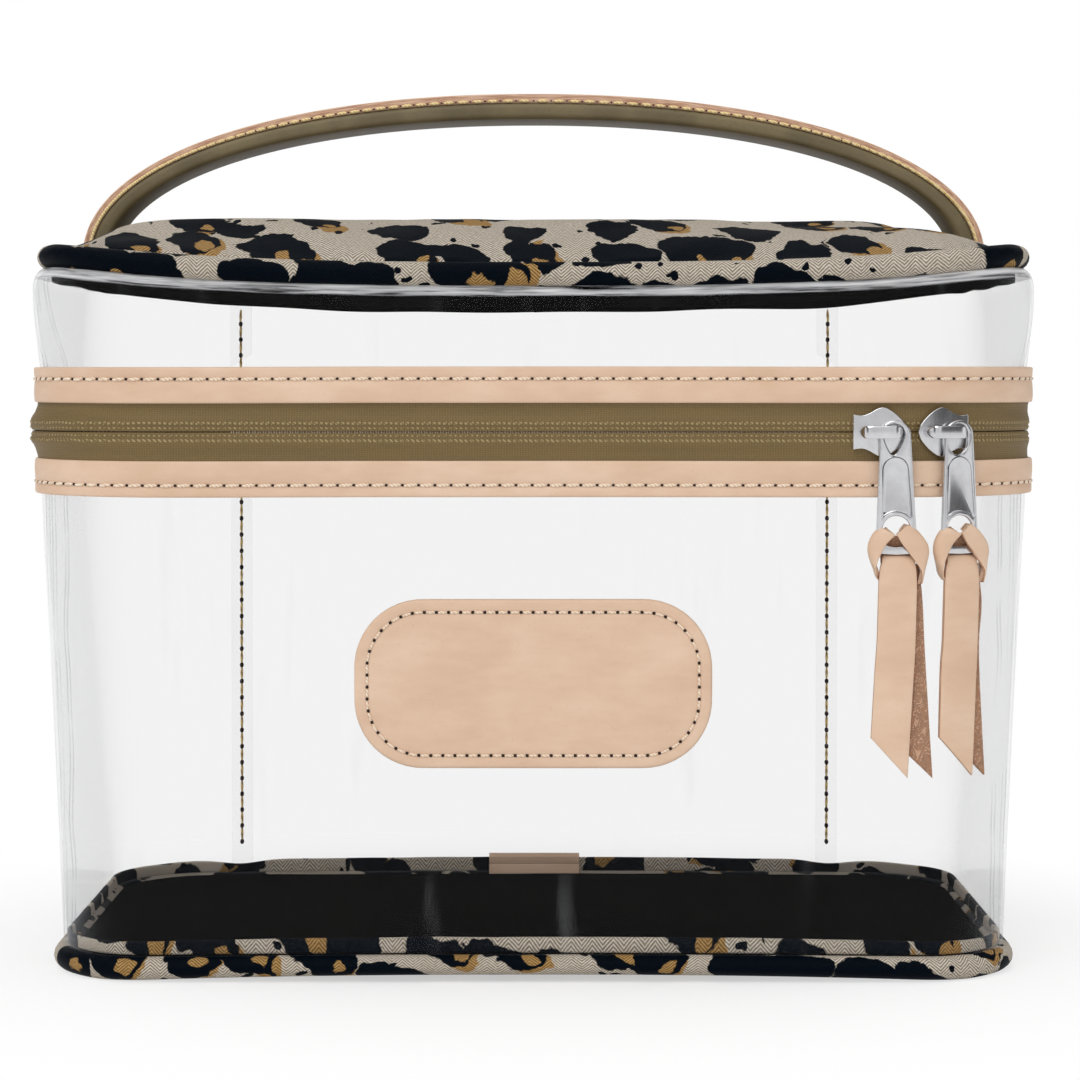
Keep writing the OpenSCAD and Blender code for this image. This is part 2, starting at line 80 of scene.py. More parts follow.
case = {
    "bandHalfX": span("upper_wall", 0)[1],
    "bandHalfY": -span("upper_wall", 1)[0],
    "bandRadius": 41.2,
    "endRadius": 26.0,
    "sheet": 0.9,
    "piping": span("base_piping", 2)[1] / 2,  # radius
    "footZ": span("lower_wall", 2)[0],
    "lowerTrimZ": span("lower_trim", 2),
    "upperTrimZ": span("upper_trim", 2),
    "zipZ": (span("lower_trim", 2)[0] + span("upper_trim", 2)[1]) / 2,
    "seamZ": span("lid_binding", 2)[0],
    "headZ": sum(span("lid_piping", 2)) / 2,
    "backCut": 91.3,  # the side sheets, trims and tapes stop here at the back
    "seam": 88.0,
    "footArch": 1.8,  # the soft floor stands up between its corners
    "headDip": -2.6,
    "headTip": 2.4,
    "slack": 0.55,  # how far the clear sheets wander
    "puff": 3.7,
}
pipingIn = case["sheet"] / 2
case["footHalfX"] = span("base_piping", 0)[1] - case["piping"] + pipingIn
case["footHalfY"] = span("base_piping", 1)[1] - case["piping"] + pipingIn
case["headHalfX"] = span("lid_piping", 0)[1] - case["piping"] + pipingIn
case["headHalfY"] = span("lid_piping", 1)[1] - case["piping"] + pipingIn


def sizesAt(z):
    band = (case["bandHalfX"], case["bandHalfY"], case["bandRadius"])
    if z < case["lowerTrimZ"][0]:
        end = (case["footHalfX"], case["footHalfY"], case["endRadius"])
        t = max(0.0, (z - case["footZ"]) / (case["lowerTrimZ"][0] - case["footZ"]))
    else:
        end = (case["headHalfX"], case["headHalfY"], case["endRadius"])
        t = 1 - ease(case["upperTrimZ"][1] - 8, case["seamZ"] + 4, z)
    return [mix(a, b, t) for a, b in zip(end, band)]


def stretches(halfX, halfY, r):
    arc = r * math.pi / 2
    return [halfX - r, arc, 2 * (halfY - r), arc, 2 * (halfX - r), arc, 2 * (halfY - r), arc, halfX - r]


bandRun = stretches(case["bandHalfX"], case["bandHalfY"], case["bandRadius"])
runLength = sum(bandRun)
frontMiddle = runLength / 2


def lift(x, z):
    arch = max(0.0, 1 - (abs(x) / 112) ** 2.3) * (1 - 0.6 * ease(0, 6, z) + 0.5 * ease(6.5, 10, z))
    low = case["footArch"] * arch * (1 - ease(13, 45, z))
    high = mix(case["headDip"], case["headTip"], min(1.0, abs(x) / 122) ** 3) * ease(157, 179, z)
    return low + high


# The clear sheets wander a little, and puff out under the top's piping, most at the two sides.
def slackAt(x, y, z):
    low = ease(12, 40, z) * (1 - ease(104, 122, z))
    high = ease(159, 166, z) * (1 - ease(172, 179, z))
    broad = noise.noise(Vector((x * 0.014, y * 0.014, z * 0.02)))
    fine = noise.noise(Vector((x * 0.05, y * 0.05, z * 0.03 + 9)))
    rolled = math.sqrt(max(0.0, 1 - (max(0.0, z - 176) / 5) ** 2))
    puffed = case["puff"] * mix(0.3, 1.0, ease(88, 118, abs(x))) * ease(152, 176, z) * rolled
    return case["slack"] * ((broad + 0.25 * fine) * low + (0.4 * broad + 0.5 * fine) * high) + puffed


# One stretch of a rounded rectangle, from the middle of the back round by the left side: point and angle.
def legPoint(leg, t, halfX, halfY, r):
    cx, cy = halfX - r, halfY - r
    if leg % 2:
        turn = (leg - 1) // 2
        centre = ((-cx, cy), (-cx, -cy), (cx, -cy), (cx, cy))[turn]
        return Vector(centre), math.pi / 2 * (turn + 1 + t)
    ends = (((0, cy), (-cx, cy)), ((-cx, cy), (-cx, -cy)), ((-cx, -cy), (cx, -cy)),
            ((cx, -cy), (cx, cy)), ((cx, cy), (0, cy)))[leg // 2]
    return Vector(ends[0]).lerp(Vector(ends[1]), t), math.pi / 2 * (leg // 2 + 1)


def findLeg(s, run):
    s = s % sum(run)
    leg = 0
    while leg < len(run) - 1 and s > run[leg]:
        s -= run[leg]
        leg += 1
    return leg, s / run[leg]


# Follows the band's run on a ring of another size, true to length across the front and the back.
def onRing(s, own):
    cut, quarter, part = case["backCut"], runLength / 4, own / 4
    lap, rest = divmod(s % runLength, 2 * quarter)
    near = min(rest, 2 * quarter - rest)
    if near > cut:
        near = mix(cut, part, (near - cut) / (quarter - cut))
    return lap * 2 * part + (near if rest < quarter else 2 * part - near)


# A point of the case's wall: s runs from the middle of the back round by the left side, out is away from it.
def atRun(s, z, out, soft=True):
    halfX, halfY, r = sizesAt(z)
    run = stretches(halfX, halfY, r)
    leg, t = findLeg(onRing(s, sum(run)), run)
    centre, angle = legPoint(leg, t, halfX, halfY, r)
    facing = Vector((math.cos(angle), math.sin(angle)))
    flat = centre + facing * r
    flat += facing * (out + (slackAt(flat.x, flat.y, z) if soft else 0.0))
    return Vector((flat.x, flat.y, z + lift(flat.x, z)))


def runFrame(s, z, out):
    here = atRun(s, z, out)
    along = (atRun(s + 0.5, z, out) - atRun(s - 0.5, z, out)).normalized()
    up = (atRun(s, z + 0.5, out) - atRun(s, z - 0.5, out)).normalized()
    return here, along, along.cross(up).normalized()


# ---- making meshes ----

def mapped(nu, nv, place, uvOf, wrap=False, part=None):
    mesh = bmesh.new()
    bmesh.ops.create_grid(mesh, x_segments=nu, y_segments=nv, size=0.5)
    layer = mesh.loops.layers.uv.new("run")
    for face in mesh.faces:
        if part:
            middle = face.calc_center_median()
            face.material_index = part(middle.x + 0.5, middle.y + 0.5)
        for loop in face.loops:
            a, b = uvOf(loop.vert.co.x + 0.5, loop.vert.co.y + 0.5)
            loop[layer].uv = (a * mm, b * mm)
    for vert in mesh.verts:
        vert.co = place(vert.co.x + 0.5, vert.co.y + 0.5)
    if wrap:
        bmesh.ops.remove_doubles(mesh, verts=mesh.verts, dist=1e-3)
    return mesh


def openEdges(mesh):
    return [edge for edge in mesh.edges if edge.is_boundary]


def roundedProfile(out0, out1, z0, z1, r, steps=3):
    corners = ((out1 - r, z0 + r, -90), (out1 - r, z1 - r, 0), (out0 + r, z1 - r, 90), (out0 + r, z0 + r, 180))
    turns = [(x, z, math.radians(a + 90 * i / steps)) for x, z, a in corners for i in range(steps + 1)]
    return [(x + r * math.cos(a), z + r * math.sin(a)) for x, z, a in turns]


def runningLengths(points):
    lengths = [0.0]
    for p, q in zip(points, points[1:]):
        lengths.append(lengths[-1] + math.dist(p, q))
    return lengths


# Sweeps a closed profile of (out, z) points along the run, and closes the ends of an open one.
def sweep(profile, s0=0.0, s1=None, step=3.0, bend=None, soft=True):
    s1 = runLength if s1 is None else s1
    loop = s1 - s0 > runLength - 0.01
    points = profile + profile[:1]
    lengths = runningLengths(points)
    nv = len(points) - 1
    nu = max(2, round((s1 - s0) / step))

    def place(a, b):
        s, (out, z) = mix(s0, s1, a), points[round(b * nv)]
        if bend:
            s, out, z = bend(s, out, z)
        return atRun(s, z, out, soft)

    mesh = mapped(nu, nv, place, lambda a, b: (mix(s0, s1, a), lengths[round(b * nv)]), wrap=True)
    if not loop:
        ends = bmesh.ops.holes_fill(mesh, edges=openEdges(mesh), sides=0)["faces"]
        bmesh.ops.triangulate(mesh, faces=ends, quad_method="BEAUTY", ngon_method="BEAUTY")
    return mesh


def ringProfile(out, z, r, sides=14):
    angles = [math.pi + 2 * math.pi * i / sides for i in range(sides)]
    return [(out + r * math.cos(a), z + r * math.sin(a)) for a in angles]


def sheetProfile(z0, z1, outer, thickness, step=4.0):
    n = max(2, round((z1 - z0 - 6) / step))
    rise = [mix(z0, z1 - 6, i / n) for i in range(n + 1)] + [z1 - d for d in (4.5, 3.2, 2.1, 1.2, 0.5, 0.0)]
    return [(outer, z) for z in rise] + [(outer - thickness, z) for z in reversed(rise)]


# Lines across a flat piece, close together near its edges.
def edgeLines(half, edges, spacing):
    inner = half - edges[-1]
    n = max(2, round(2 * inner / spacing))
    middle = [mix(-inner, inner, i / n) for i in range(n + 1)]
    return [-half + d for d in edges[:-1]] + middle + [half - d for d in reversed(edges[:-1])]


# A rounded rectangle as a grid: place gets x, y and the distance from the edge.
def panel(halfX, halfY, r, edges, spacing, place):
    xs, ys = edgeLines(halfX, edges, spacing), edgeLines(halfY, edges, spacing)
    nu, nv = len(xs) - 1, len(ys) - 1

    def at(a, b):
        x, y = xs[round(a * nu)], ys[round(b * nv)]
        edge = min(halfX - abs(x), halfY - abs(y))
        dx, dy = abs(x) - (halfX - r), abs(y) - (halfY - r)
        if dx > 0 and dy > 0:
            k = max(dx, dy) / math.hypot(dx, dy)
            x = math.copysign(halfX - r + dx * k, x)
            y = math.copysign(halfY - r + dy * k, y)
        return place(x, y, edge)

    return mapped(nu, nv, at, lambda a, b: (xs[round(a * nu)], ys[round(b * nv)]))


def closeUnder(mesh, drop):
    made = bmesh.ops.extrude_edge_only(mesh, edges=openEdges(mesh))["geom"]
    for vert in made:
        if isinstance(vert, bmesh.types.BMVert):
            vert.co = drop(vert.co)
    bmesh.ops.holes_fill(mesh, edges=openEdges(mesh), sides=0)
    bmesh.ops.recalc_face_normals(mesh, faces=mesh.faces)
    return mesh


def toPiece(mesh, name, material, body, stands=(), sharp=45.0):
    bmesh.ops.scale(mesh, vec=(mm, mm, mm), verts=mesh.verts)
    data = bpy.data.meshes.new(name)
    mesh.to_mesh(data)
    mesh.free()
    data.shade_smooth()
    data.set_sharp_from_angle(angle=math.radians(sharp))
    data.materials.append(material)
    piece = bpy.data.objects.new(name, data)
    bpy.context.scene.collection.objects.link(piece)
    if body:
        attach(piece, body)
    if stands:
        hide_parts(*stands)
    return piece


def grain(frameAt, size):
    here, along, out = frameAt
    across = out.cross(along)
    columns = (across * size[1], out * size[2], along * size[0])
    turned = Matrix([[c[i] / 2 for c in columns] for i in range(3)]).to_4x4()
    return Matrix.Translation(here) @ turned


# Many small ovals in one mesh: a row of stitches, needle holes or beads.
def ovals(frames, size, rings=4, sides=6):
    mesh = bmesh.new()
    bmesh.ops.create_uvsphere(mesh, u_segments=sides, v_segments=rings, radius=1)
    oval = bpy.data.meshes.new("oval")
    mesh.to_mesh(oval)
    mesh.clear()
    for one in frames:
        copy = oval.copy()
        copy.transform(grain(one, size))
        mesh.from_mesh(copy)
        bpy.data.meshes.remove(copy)
    return mesh


print("form ready")

# ---- finishes ----

def rgb(*screen):
    linear = [c / 255 / 12.92 if c < 10.3 else ((c / 255 + 0.055) / 1.055) ** 2.4 for c in screen]
    return (*linear, 1.0)


# A socket in a finish, so that its maths reads as plain expressions.
class Field:
    def __init__(self, finish, socket):
        self.finish, self.socket = finish, socket

    def maths(self, operation, *others):
        return self.finish.node("ShaderNodeMath", {"operation": operation}, dict(enumerate((self, *others))))

    def __add__(self, other):
        return self.maths("ADD", other)

    def __mul__(self, other):
        return self.maths("MULTIPLY", other)

    def __sub__(self, other):
        return self.maths("SUBTRACT", other)

    def __rsub__(self, other):
        return self.finish.node("ShaderNodeMath", {"operation": "SUBTRACT"}, {0: other, 1: self})

    def __truediv__(self, other):
        return self.maths("DIVIDE", other)

    __radd__ = __add__
    __rmul__ = __mul__


class Finish:
    def __init__(self, name):
        self.material = bpy.data.materials.new(name)
        self.material.use_nodes = True
        self.tree = self.material.node_tree
        self.tree.nodes.clear()

    def node(self, kind, settings=None, sockets=None, output=0):
        made = self.tree.nodes.new(kind)
        for key, value in (settings or {}).items():
            setattr(made, key, value)
        for key, value in (sockets or {}).items():
            if isinstance(value, Field):
                self.tree.links.new(value.socket, made.inputs[key])
            else:
                made.inputs[key].default_value = value
        return Field(self, made.outputs[output]) if made.outputs else None

    def place(self, kind="Object", size=(1.0, 1.0, 1.0), shift=(0.0, 0.0, 0.0)):
        source = self.node("ShaderNodeTexCoord", output=kind)
        scale = [1 / (one * mm) for one in size]
        return self.node("ShaderNodeMapping", {}, {"Vector": source, "Location": shift, "Scale": scale})

    def split(self, vector):
        return [self.node("ShaderNodeSeparateXYZ", {}, {0: vector}, output=i) for i in range(3)]

    def vector(self, operation, *values):
        return self.node("ShaderNodeVectorMath", {"operation": operation}, dict(enumerate(values)))

    def clouds(self, where, scale=1.0, detail=2.0, roughness=0.5, warp=0.0, output=0):
        sockets = {"Vector": where, "Scale": scale, "Detail": detail, "Roughness": roughness, "Distortion": warp}
        return self.node("ShaderNodeTexNoise", {}, sockets, output)

    def cells(self, where, output, scale=1.0, randomness=1.0):
        settings = {"voronoi_dimensions": "2D"}
        return self.node("ShaderNodeTexVoronoi", settings,
                         {"Vector": where, "Scale": scale, "Randomness": randomness}, output)

    def between(self, value, low, high):
        sockets = {"Value": value, "From Min": low, "From Max": high}
        return self.node("ShaderNodeMapRange", {"interpolation_type": "SMOOTHSTEP"}, sockets)

    def blend(self, share, first, second):
        return self.node("ShaderNodeMix", {"data_type": "RGBA"}, {0: share, 6: first, 7: second}, 2)

    def skin(self, colour, roughness, height=None, depth=0.1, **fixed):
        sockets = {"Base Color": colour, "Roughness": roughness}
        sockets.update({key.replace("_", " "): value for key, value in fixed.items()})
        if height:
            sockets["Normal"] = self.node("ShaderNodeBump", {}, {"Height": height, "Distance": depth * mm})
        return self.node("ShaderNodeBsdfPrincipled", {}, sockets)

    def done(self, surface):
        self.node("ShaderNodeOutputMaterial", {}, {"Surface": surface})
        return self.material


# The groove colours are painted shade in the twill's grooves, and the dark ridge colour is a painted sheen on the
# blotches' ridges.
spots = {
    "size": 17.5, "cream": rgb(231, 222, 209), "groove": rgb(126, 113, 96), "ochre": rgb(190, 152, 98),
    "ochreGrooveShade": rgb(122, 92, 50), "dark": rgb(0, 3, 9), "darkRidgeSheen": rgb(2, 13, 24),
    "twill": 0.95, "chevron": 2.7,
}


# Woven cloth with dark blotches, some with an ochre patch, over a chevron twill; the twill's grooves are painted
# darker as shade and its ridges lighter as painted sheen.
def printedCloth(name, shift, cover=0.0, size=None):
    f = Finish(name)
    size = size or spots["size"]
    spot = f.place("UV", (size, size, 1.0), shift)
    drift = f.clouds(spot, 1.3, 1.0, 0.5, output=1)
    ragged = f.clouds(spot, 5.0, 2.0, 0.5, output=1)
    loose = f.vector("MULTIPLY_ADD", drift, (0.5, 0.5, 0.0), spot)
    edge = f.vector("MULTIPLY_ADD", ragged, (0.2, 0.2, 0.0), loose)
    chance = f.split(f.cells(edge, 1, 1.0, 0.8))
    reach = 0.24 + cover + chance[0] * 0.2
    main = f.cells(edge, 0, 1.0, 0.8)
    lobe = f.cells(f.vector("ADD", edge, (0.17, -0.13, 0.0)), 0, 1.0, 0.8)
    small = f.cells(f.vector("ADD", edge, (0.4, 0.7, 0.0)), 0, 2.3, 1.0)
    blotch = f.between(main - reach, 0.012, -0.012)
    blotch = blotch.maths("MAXIMUM", f.between(lobe - reach * 0.82, 0.012, -0.012))
    blotch = blotch.maths("MAXIMUM", f.between(small, 0.15, 0.135) * f.between(chance[2], 0.62, 0.63))
    patch = f.cells(f.vector("ADD", edge, (-0.14, 0.15, 0.0)), 0, 1.0, 0.8)
    has = f.between(chance[1], 0.42, 0.43)
    ochre = f.between(patch - (0.16 + chance[1] * 0.2), 0.01, -0.01) * has
    heart = f.between(patch - (0.02 + chance[1] * 0.15), 0.01, -0.01) * has
    dark = blotch * (1 - heart)
    u, v, w = f.split(f.place("UV"))
    wander = f.clouds(f.place("UV", (9.0, 9.0, 1.0)), 1.0, 2.0) * 1.6
    rib = ((v + u.maths("PINGPONG", spots["chevron"]) + wander) * (2 * math.pi / spots["twill"])).maths("SINE")
    fray = f.clouds(f.place("UV", (0.9, 0.9, 1.0)), 1.0, 2.0)
    ridge = f.between(rib * 0.5 + fray * 0.9, -0.15, 1.1)
    tone = f.clouds(f.place("UV", (30.0, 30.0, 1.0)), 1.0, 2.0)
    # Ridge against groove: the grooves are painted darker as shade, and the dark ridges lighter as painted sheen.
    cream = f.blend(tone * 0.35, f.blend(ridge, spots["groove"], spots["cream"]), rgb(168, 156, 138))
    colour = f.blend(ochre, cream, f.blend(ridge, spots["ochreGrooveShade"], spots["ochre"]))
    colour = f.blend(dark, colour, f.blend(ridge, spots["dark"], spots["darkRidgeSheen"]))
    return f.done(f.skin(colour, 0.55, ridge * (1 - dark * 0.7), 0.2, **{"Specular_IOR_Level": 0.04}))


leather = {
    "light": rgb(231, 201, 175), "deep": rgb(216, 181, 152), "pore": rgb(196, 156, 124), "rough": 0.46,
    "flesh": rgb(206, 166, 138), "fleshDeep": rgb(168, 124, 96),
}


def tannedLeather(name, light=leather["light"], deep=leather["deep"], rough=leather["rough"]):
    f = Finish(name)
    broad = f.clouds(f.place("Object", (22.0, 22.0, 12.0)), 1.0, 3.0, 0.55)
    streak = f.clouds(f.place("Object", (9.0, 9.0, 2.2)), 1.0, 2.0)
    pores = f.clouds(f.place("Object", (0.55, 0.55, 0.55)), 1.0, 2.0)
    colour = f.blend(f.between(broad + streak * 0.3, 0.3, 1.0), light, deep)
    colour = f.blend(f.between(pores, 0.62, 0.78) * 0.35, colour, leather["pore"])
    return f.done(f.skin(colour, rough + broad * 0.08, pores * 0.6 + streak * 0.4, 0.05))


def fleshSide(name):
    f = Finish(name)
    swirl = f.clouds(f.place("Object", (4.0, 4.0, 6.0)), 1.0, 2.0, 0.5, 2.6)
    lines = (swirl * 46.0).maths("SINE")
    nap = f.clouds(f.place("Object", (0.5, 0.5, 0.5)), 1.0, 3.0)
    rise = f.between(lines * 0.5 + nap, 0.1, 1.2)
    colour = f.blend(rise, leather["fleshDeep"], leather["flesh"])
    return f.done(f.skin(colour, 0.85, rise, 0.22))


# The two cut sides of a strip, darker and fibrous along their length.
def cutEdge(name):
    f = Finish(name)
    fibres = f.clouds(f.place("UV", (7.0, 0.35, 1.0)), 1.0, 3.0, 0.6)
    colour = f.blend(f.between(fibres, 0.35, 0.65), rgb(172, 124, 96), rgb(222, 186, 158))
    return f.done(f.skin(colour, 0.7, fibres, 0.08))


tapeLook = {"flat": rgb(126, 103, 60), "deep": rgb(106, 86, 46), "bead": rgb(166, 146, 100), "coil": rgb(108, 90, 54)}


def wovenTape(name):
    f = Finish(name)
    u, v, w = f.split(f.place("UV"))
    pick = (u * (2 * math.pi / 0.68)).maths("SINE")
    warpEnd = (v * (2 * math.pi / 0.5)).maths("SINE")
    fuzz = f.clouds(f.place("UV", (0.6, 0.6, 1.0)), 1.0, 2.0)
    weave = f.between(pick * 0.25 + warpEnd * 0.25 + fuzz, 0.0, 1.1)
    tone = f.clouds(f.place("UV", (26.0, 3.0, 1.0)), 1.0, 2.0)
    colour = f.blend(f.between(weave * 0.6 + tone * 0.5, 0.2, 0.9), tapeLook["deep"], tapeLook["flat"])
    return f.done(f.skin(colour, 0.6, weave, 0.05))


def spunThread(name, light, dark, twist=0.55):
    f = Finish(name)
    x, y, z = f.split(f.place("Object", (twist, twist, twist)))
    strand = ((x + y + z) * math.pi).maths("SINE")
    colour = f.blend(f.between(strand, -0.9, 0.7), dark, light)
    return f.done(f.skin(colour, 0.5, strand, 0.04))


# A needle hole, painted dark as the shade inside it; the noise breaks the painted shade up.
def needleHole(name):
    f = Finish(name)
    holeShadeBreakup = f.clouds(f.place("Object", (0.4, 0.4, 0.4)), 1.0, 2.0)
    return f.done(f.skin(f.blend(holeShadeBreakup, rgb(24, 12, 8), rgb(52, 30, 20)), 0.9))


def blackLining(name):
    f = Finish(name)
    weave = f.clouds(f.place("Object", (0.8, 0.3, 0.8)), 1.0, 2.0)
    broad = f.clouds(f.place("Object", (40.0, 18.0, 40.0)), 1.0, 2.0)
    colour = f.blend(weave * 0.5 + broad * 0.4, rgb(10, 10, 9), rgb(20, 19, 18))
    return f.done(f.skin(colour, 0.8, weave, 0.04, **{"Specular_IOR_Level": 0.0}))


def oliveWrap(name):
    f = Finish(name)
    broad = f.clouds(f.place("Object", (16.0, 16.0, 16.0)), 1.0, 3.0)
    grainy = f.clouds(f.place("Object", (0.7, 0.7, 0.7)), 1.0, 2.0)
    colour = f.blend(f.between(broad, 0.3, 0.7), rgb(101, 89, 61), rgb(122, 108, 76))
    colour = f.blend(f.between(grainy, 0.55, 0.75) * 0.3, colour, rgb(80, 70, 46))
    return f.done(f.skin(colour, 0.56, grainy, 0.06))


def brightNickel(name):
    f = Finish(name)
    haze = f.clouds(f.place("Object", (3.0, 3.0, 3.0)), 1.0, 3.0)
    brushed = f.clouds(f.place("Object", (0.25, 0.25, 5.0)), 1.0, 2.0)
    colour = f.blend(haze, rgb(196, 196, 199), rgb(222, 222, 224))
    return f.done(f.skin(colour, 0.17 + brushed * 0.1, brushed, 0.006, Metallic=1.0))


def paddedFoam(name, light=rgb(226, 222, 208), dark=rgb(186, 180, 160)):
    f = Finish(name)
    pores = f.clouds(f.place("Object", (0.9, 0.9, 0.9)), 1.0, 3.0, 0.6)
    return f.done(f.skin(f.blend(f.between(pores, 0.35, 0.65), dark, light), 0.9, pores, 0.2))


# The crease colour is a painted dark reflection, and each crease's depth is how much of it that crease takes.
clear = {
    "tint": rgb(252, 252, 252), "pale": rgb(240, 242, 245), "paintedCreaseGrey": rgb(96, 100, 106), "film": 0.004, "rim": 0.3,
    "creases": ((230.5, 0.5, 0.6), (236.0, 0.9, 0.16), (243.0, 0.7, 0.22), (226.0, 0.4, 0.2)),  # where, width, depth
}


# Clear sheet: pale where it turns away, thin upright creases near the corners painted grey as dark reflections, and a
# painted glint band along a sewn edge.
def clearVinyl(name, sewnAt=None):
    f = Finish(name)
    u, v, w = f.split(f.place("UV"))
    away = f.node("ShaderNodeLayerWeight", {}, {"Blend": 0.5}, "Facing")
    edge = away.maths("POWER", 3.0)
    drift = f.clouds(f.place("Object", (9.0, 9.0, 60.0)), 1.0, 2.0, 0.5)
    bent = (f.clouds(f.place("Object", (60.0, 60.0, 34.0)), 1.0, 1.0) - 0.5) * 9.0
    broken = f.clouds(f.place("Object", (20.0, 20.0, 26.0)), 1.0, 2.0)
    hazeAndPaintedReflection = f.between(drift, 0.6, 0.8) * 0.03
    for at, width, depth in clear["creases"]:
        for s in (at, runLength - at):
            off = (u - s + bent).maths("ABSOLUTE")
            hazeAndPaintedReflection = hazeAndPaintedReflection + f.between(off, width, 0.0) * f.between(broken, 0.38, 0.6) * depth
    # Painted dark reflection turns the creases grey.
    tone = f.blend(f.between(hazeAndPaintedReflection, 0.0, 0.12), clear["pale"], clear["paintedCreaseGrey"])
    share = edge * clear["rim"] + hazeAndPaintedReflection + clear["film"]
    # Under the sewn top edge, a band of painted glint, broken up by noise.
    if sewnAt:
        glint = f.clouds(f.place("UV", (26.0, 1.4, 1.0)), 1.0, 3.0, 0.6)
        paintedGlintBand = f.between((v - sewnAt).maths("ABSOLUTE") + glint * 1.6, 4.1, 3.4)
        share = share.maths("MAXIMUM", paintedGlintBand * f.between(glint, 0.3, 0.5) * 0.85)
        tone = f.blend(paintedGlintBand, tone, f.blend(f.between(glint, 0.35, 0.7), rgb(132, 132, 134), rgb(238, 238, 240)))
    body = f.skin(tone, 0.08, drift, 0.3)
    through = f.node("ShaderNodeBsdfTransparent", {}, {"Color": clear["tint"]})
    return f.done(f.node("ShaderNodeMixShader", {}, {0: share, 1: through, 2: body}))


clothFor = {
    "base": printedCloth("clothBase", (0.3, 0.2, 0.0)), "cordLow": printedCloth("clothLowCord", (3.2, 1.4, 0.0), 0.06),
    "binding": printedCloth("clothBinding", (7.7, 2.1, 0.0), 0.05), "lid": printedCloth("clothLid", (1.1, 5.6, 0.0)),
    "cordHigh": printedCloth("clothHighCord", (9.3, 3.8, 0.0), 0.06),
}
tan = tannedLeather("tanLeather")
flesh = fleshSide("leatherFlesh")
edgeTan = cutEdge("leatherEdge")
tapeCloth = wovenTape("zipTapeCloth")
beadThread = spunThread("tapeBeads", tapeLook["bead"], tapeLook["flat"])
coilNylon = spunThread("coilNylon", tapeLook["coil"], tapeLook["deep"], 0.9)
paleThread = spunThread("paleThread", rgb(248, 230, 208), rgb(222, 192, 164))
goldThread = spunThread("goldThread", rgb(236, 202, 116), rgb(170, 134, 58), 1.4)
strawThread = spunThread("strawThread", rgb(252, 232, 178), rgb(224, 190, 122))
holes = needleHole("needleHoles")
lining = blackLining("blackLining")
olive = oliveWrap("oliveWrap")
nickel = brightNickel("brightNickel")
foam = paddedFoam("paddedFoam")
board = paddedFoam("stiffBoard", rgb(120, 104, 90), rgb(90, 76, 64))
cordCotton = paddedFoam("cordCotton")
vinyl = clearVinyl("clearVinyl")
glintedUpperSheet = clearVinyl("clearUpperSheetGlint", case["headZ"] - case["piping"] + 0.6 - span("upper_wall", 2)[0])

finishOf = {
    "printed_fabric": clothFor["base"], "padding_foam": foam, "stiff_board": board, "black_lining": lining,
    "piping_cord": cordCotton, "natural_leather": tan, "clear_vinyl": vinyl, "zip_tape": tapeCloth,
    "zip_coil": coilNylon, "handle_wrap": olive, "bright_nickel": nickel,
}
for part in frame["record"]["subparts"]:
    materials = frame["nodes"][part["node"]].data.materials
    materials.clear()
    materials.append(finishOf[part["material_slot"]])
print("finishes ready")

# ---- bottom end ----

floor = {
    "edgeOut": -3.55, "coverZ": 0.35, "padTop": 3.1, "boardTop": 5.4, "liningTop": span("floor_lining", 2)[1] - 0.7,
    "bindingTop": span("base_binding", 2)[1] - 1.2, "bindingThick": 1.3, "seamDip": 1.6, "seamPush": 2.4,
}
edges = [0.0, 0.5, 1.4, 3.0, 6.0]


def flatPanel(half, top, under, name, material, body, stands, crown=0.0, edgeDrop=0.5):
    halfX, halfY = half[0] + floor["edgeOut"], half[1] + floor["edgeOut"]

    def place(x, y, edge):
        rise = crown * ease(0, 30, edge) - edgeDrop * (1 - ease(0, 1.6, edge))
        return Vector((x, y, top + rise + 0.25 * wave(x * 0.03, y * 0.03, top) + lift(x, top)))

    mesh = panel(halfX, halfY, case["endRadius"] + floor["edgeOut"], edges, 5.0, place)
    closeUnder(mesh, lambda co: Vector((co.x, co.y, under + lift(co.x, top))))
    return toPiece(mesh, name, material, body, stands)


foot = (case["footHalfX"], case["footHalfY"])
head = (case["headHalfX"], case["headHalfY"])


def cordAndCover(z, cloth, body, names, stands):
    cover = sweep(ringProfile(-pipingIn, z, case["piping"], 18), step=2.5, soft=False)
    coverPiece = toPiece(cover, names[0], cloth, body, stands[:1])
    core = sweep(ringProfile(-pipingIn, z, case["piping"] - 0.8, 8), step=6.0, soft=False)
    corePiece = toPiece(core, names[1], cordCotton, body, stands[1:])
    return coverPiece, corePiece


cordAndCover(case["piping"], clothFor["cordLow"], "base", ("basePiping", "basePipingCord"),
             ("base_piping", "base_piping_core"))


def baseCoverMesh():
    halfX, halfY = foot[0] + floor["edgeOut"], foot[1] + floor["edgeOut"]

    def place(x, y, edge):
        sag = 0.5 * ease(0, 25, edge) * (0.6 + 0.4 * wave(x * 0.03, y * 0.03, 2.2))
        z = floor["coverZ"] + 1.2 * (1 - ease(0, 5, edge)) + lift(x, 0) * (1 - 0.35 * ease(0, 40, edge)) - 0.3 * sag
        return Vector((x, -y, max(0.05, z)))

    mesh = panel(halfX, halfY, case["endRadius"] + floor["edgeOut"], edges, 4.0, place)
    return closeUnder(mesh, lambda co: Vector((co.x, co.y, floor["padTop"] + lift(co.x, 0))))


baseCover = toPiece(baseCoverMesh(), "baseCover", clothFor["base"], "base",
                    ("base_panel", "base_padding"))
flatPanel(foot, floor["boardTop"], floor["padTop"] + 0.1, "baseBoard", board, "base", ("base_board",))
flatPanel(foot, floor["liningTop"], floor["boardTop"] + 0.1, "floorLining", lining, "base",
          ("floor_lining",), 0.5)


def seamNear(s):
    return max(math.exp(-(((s % runLength) - at) / 7) ** 2) for at in (case["seam"], runLength - case["seam"]))


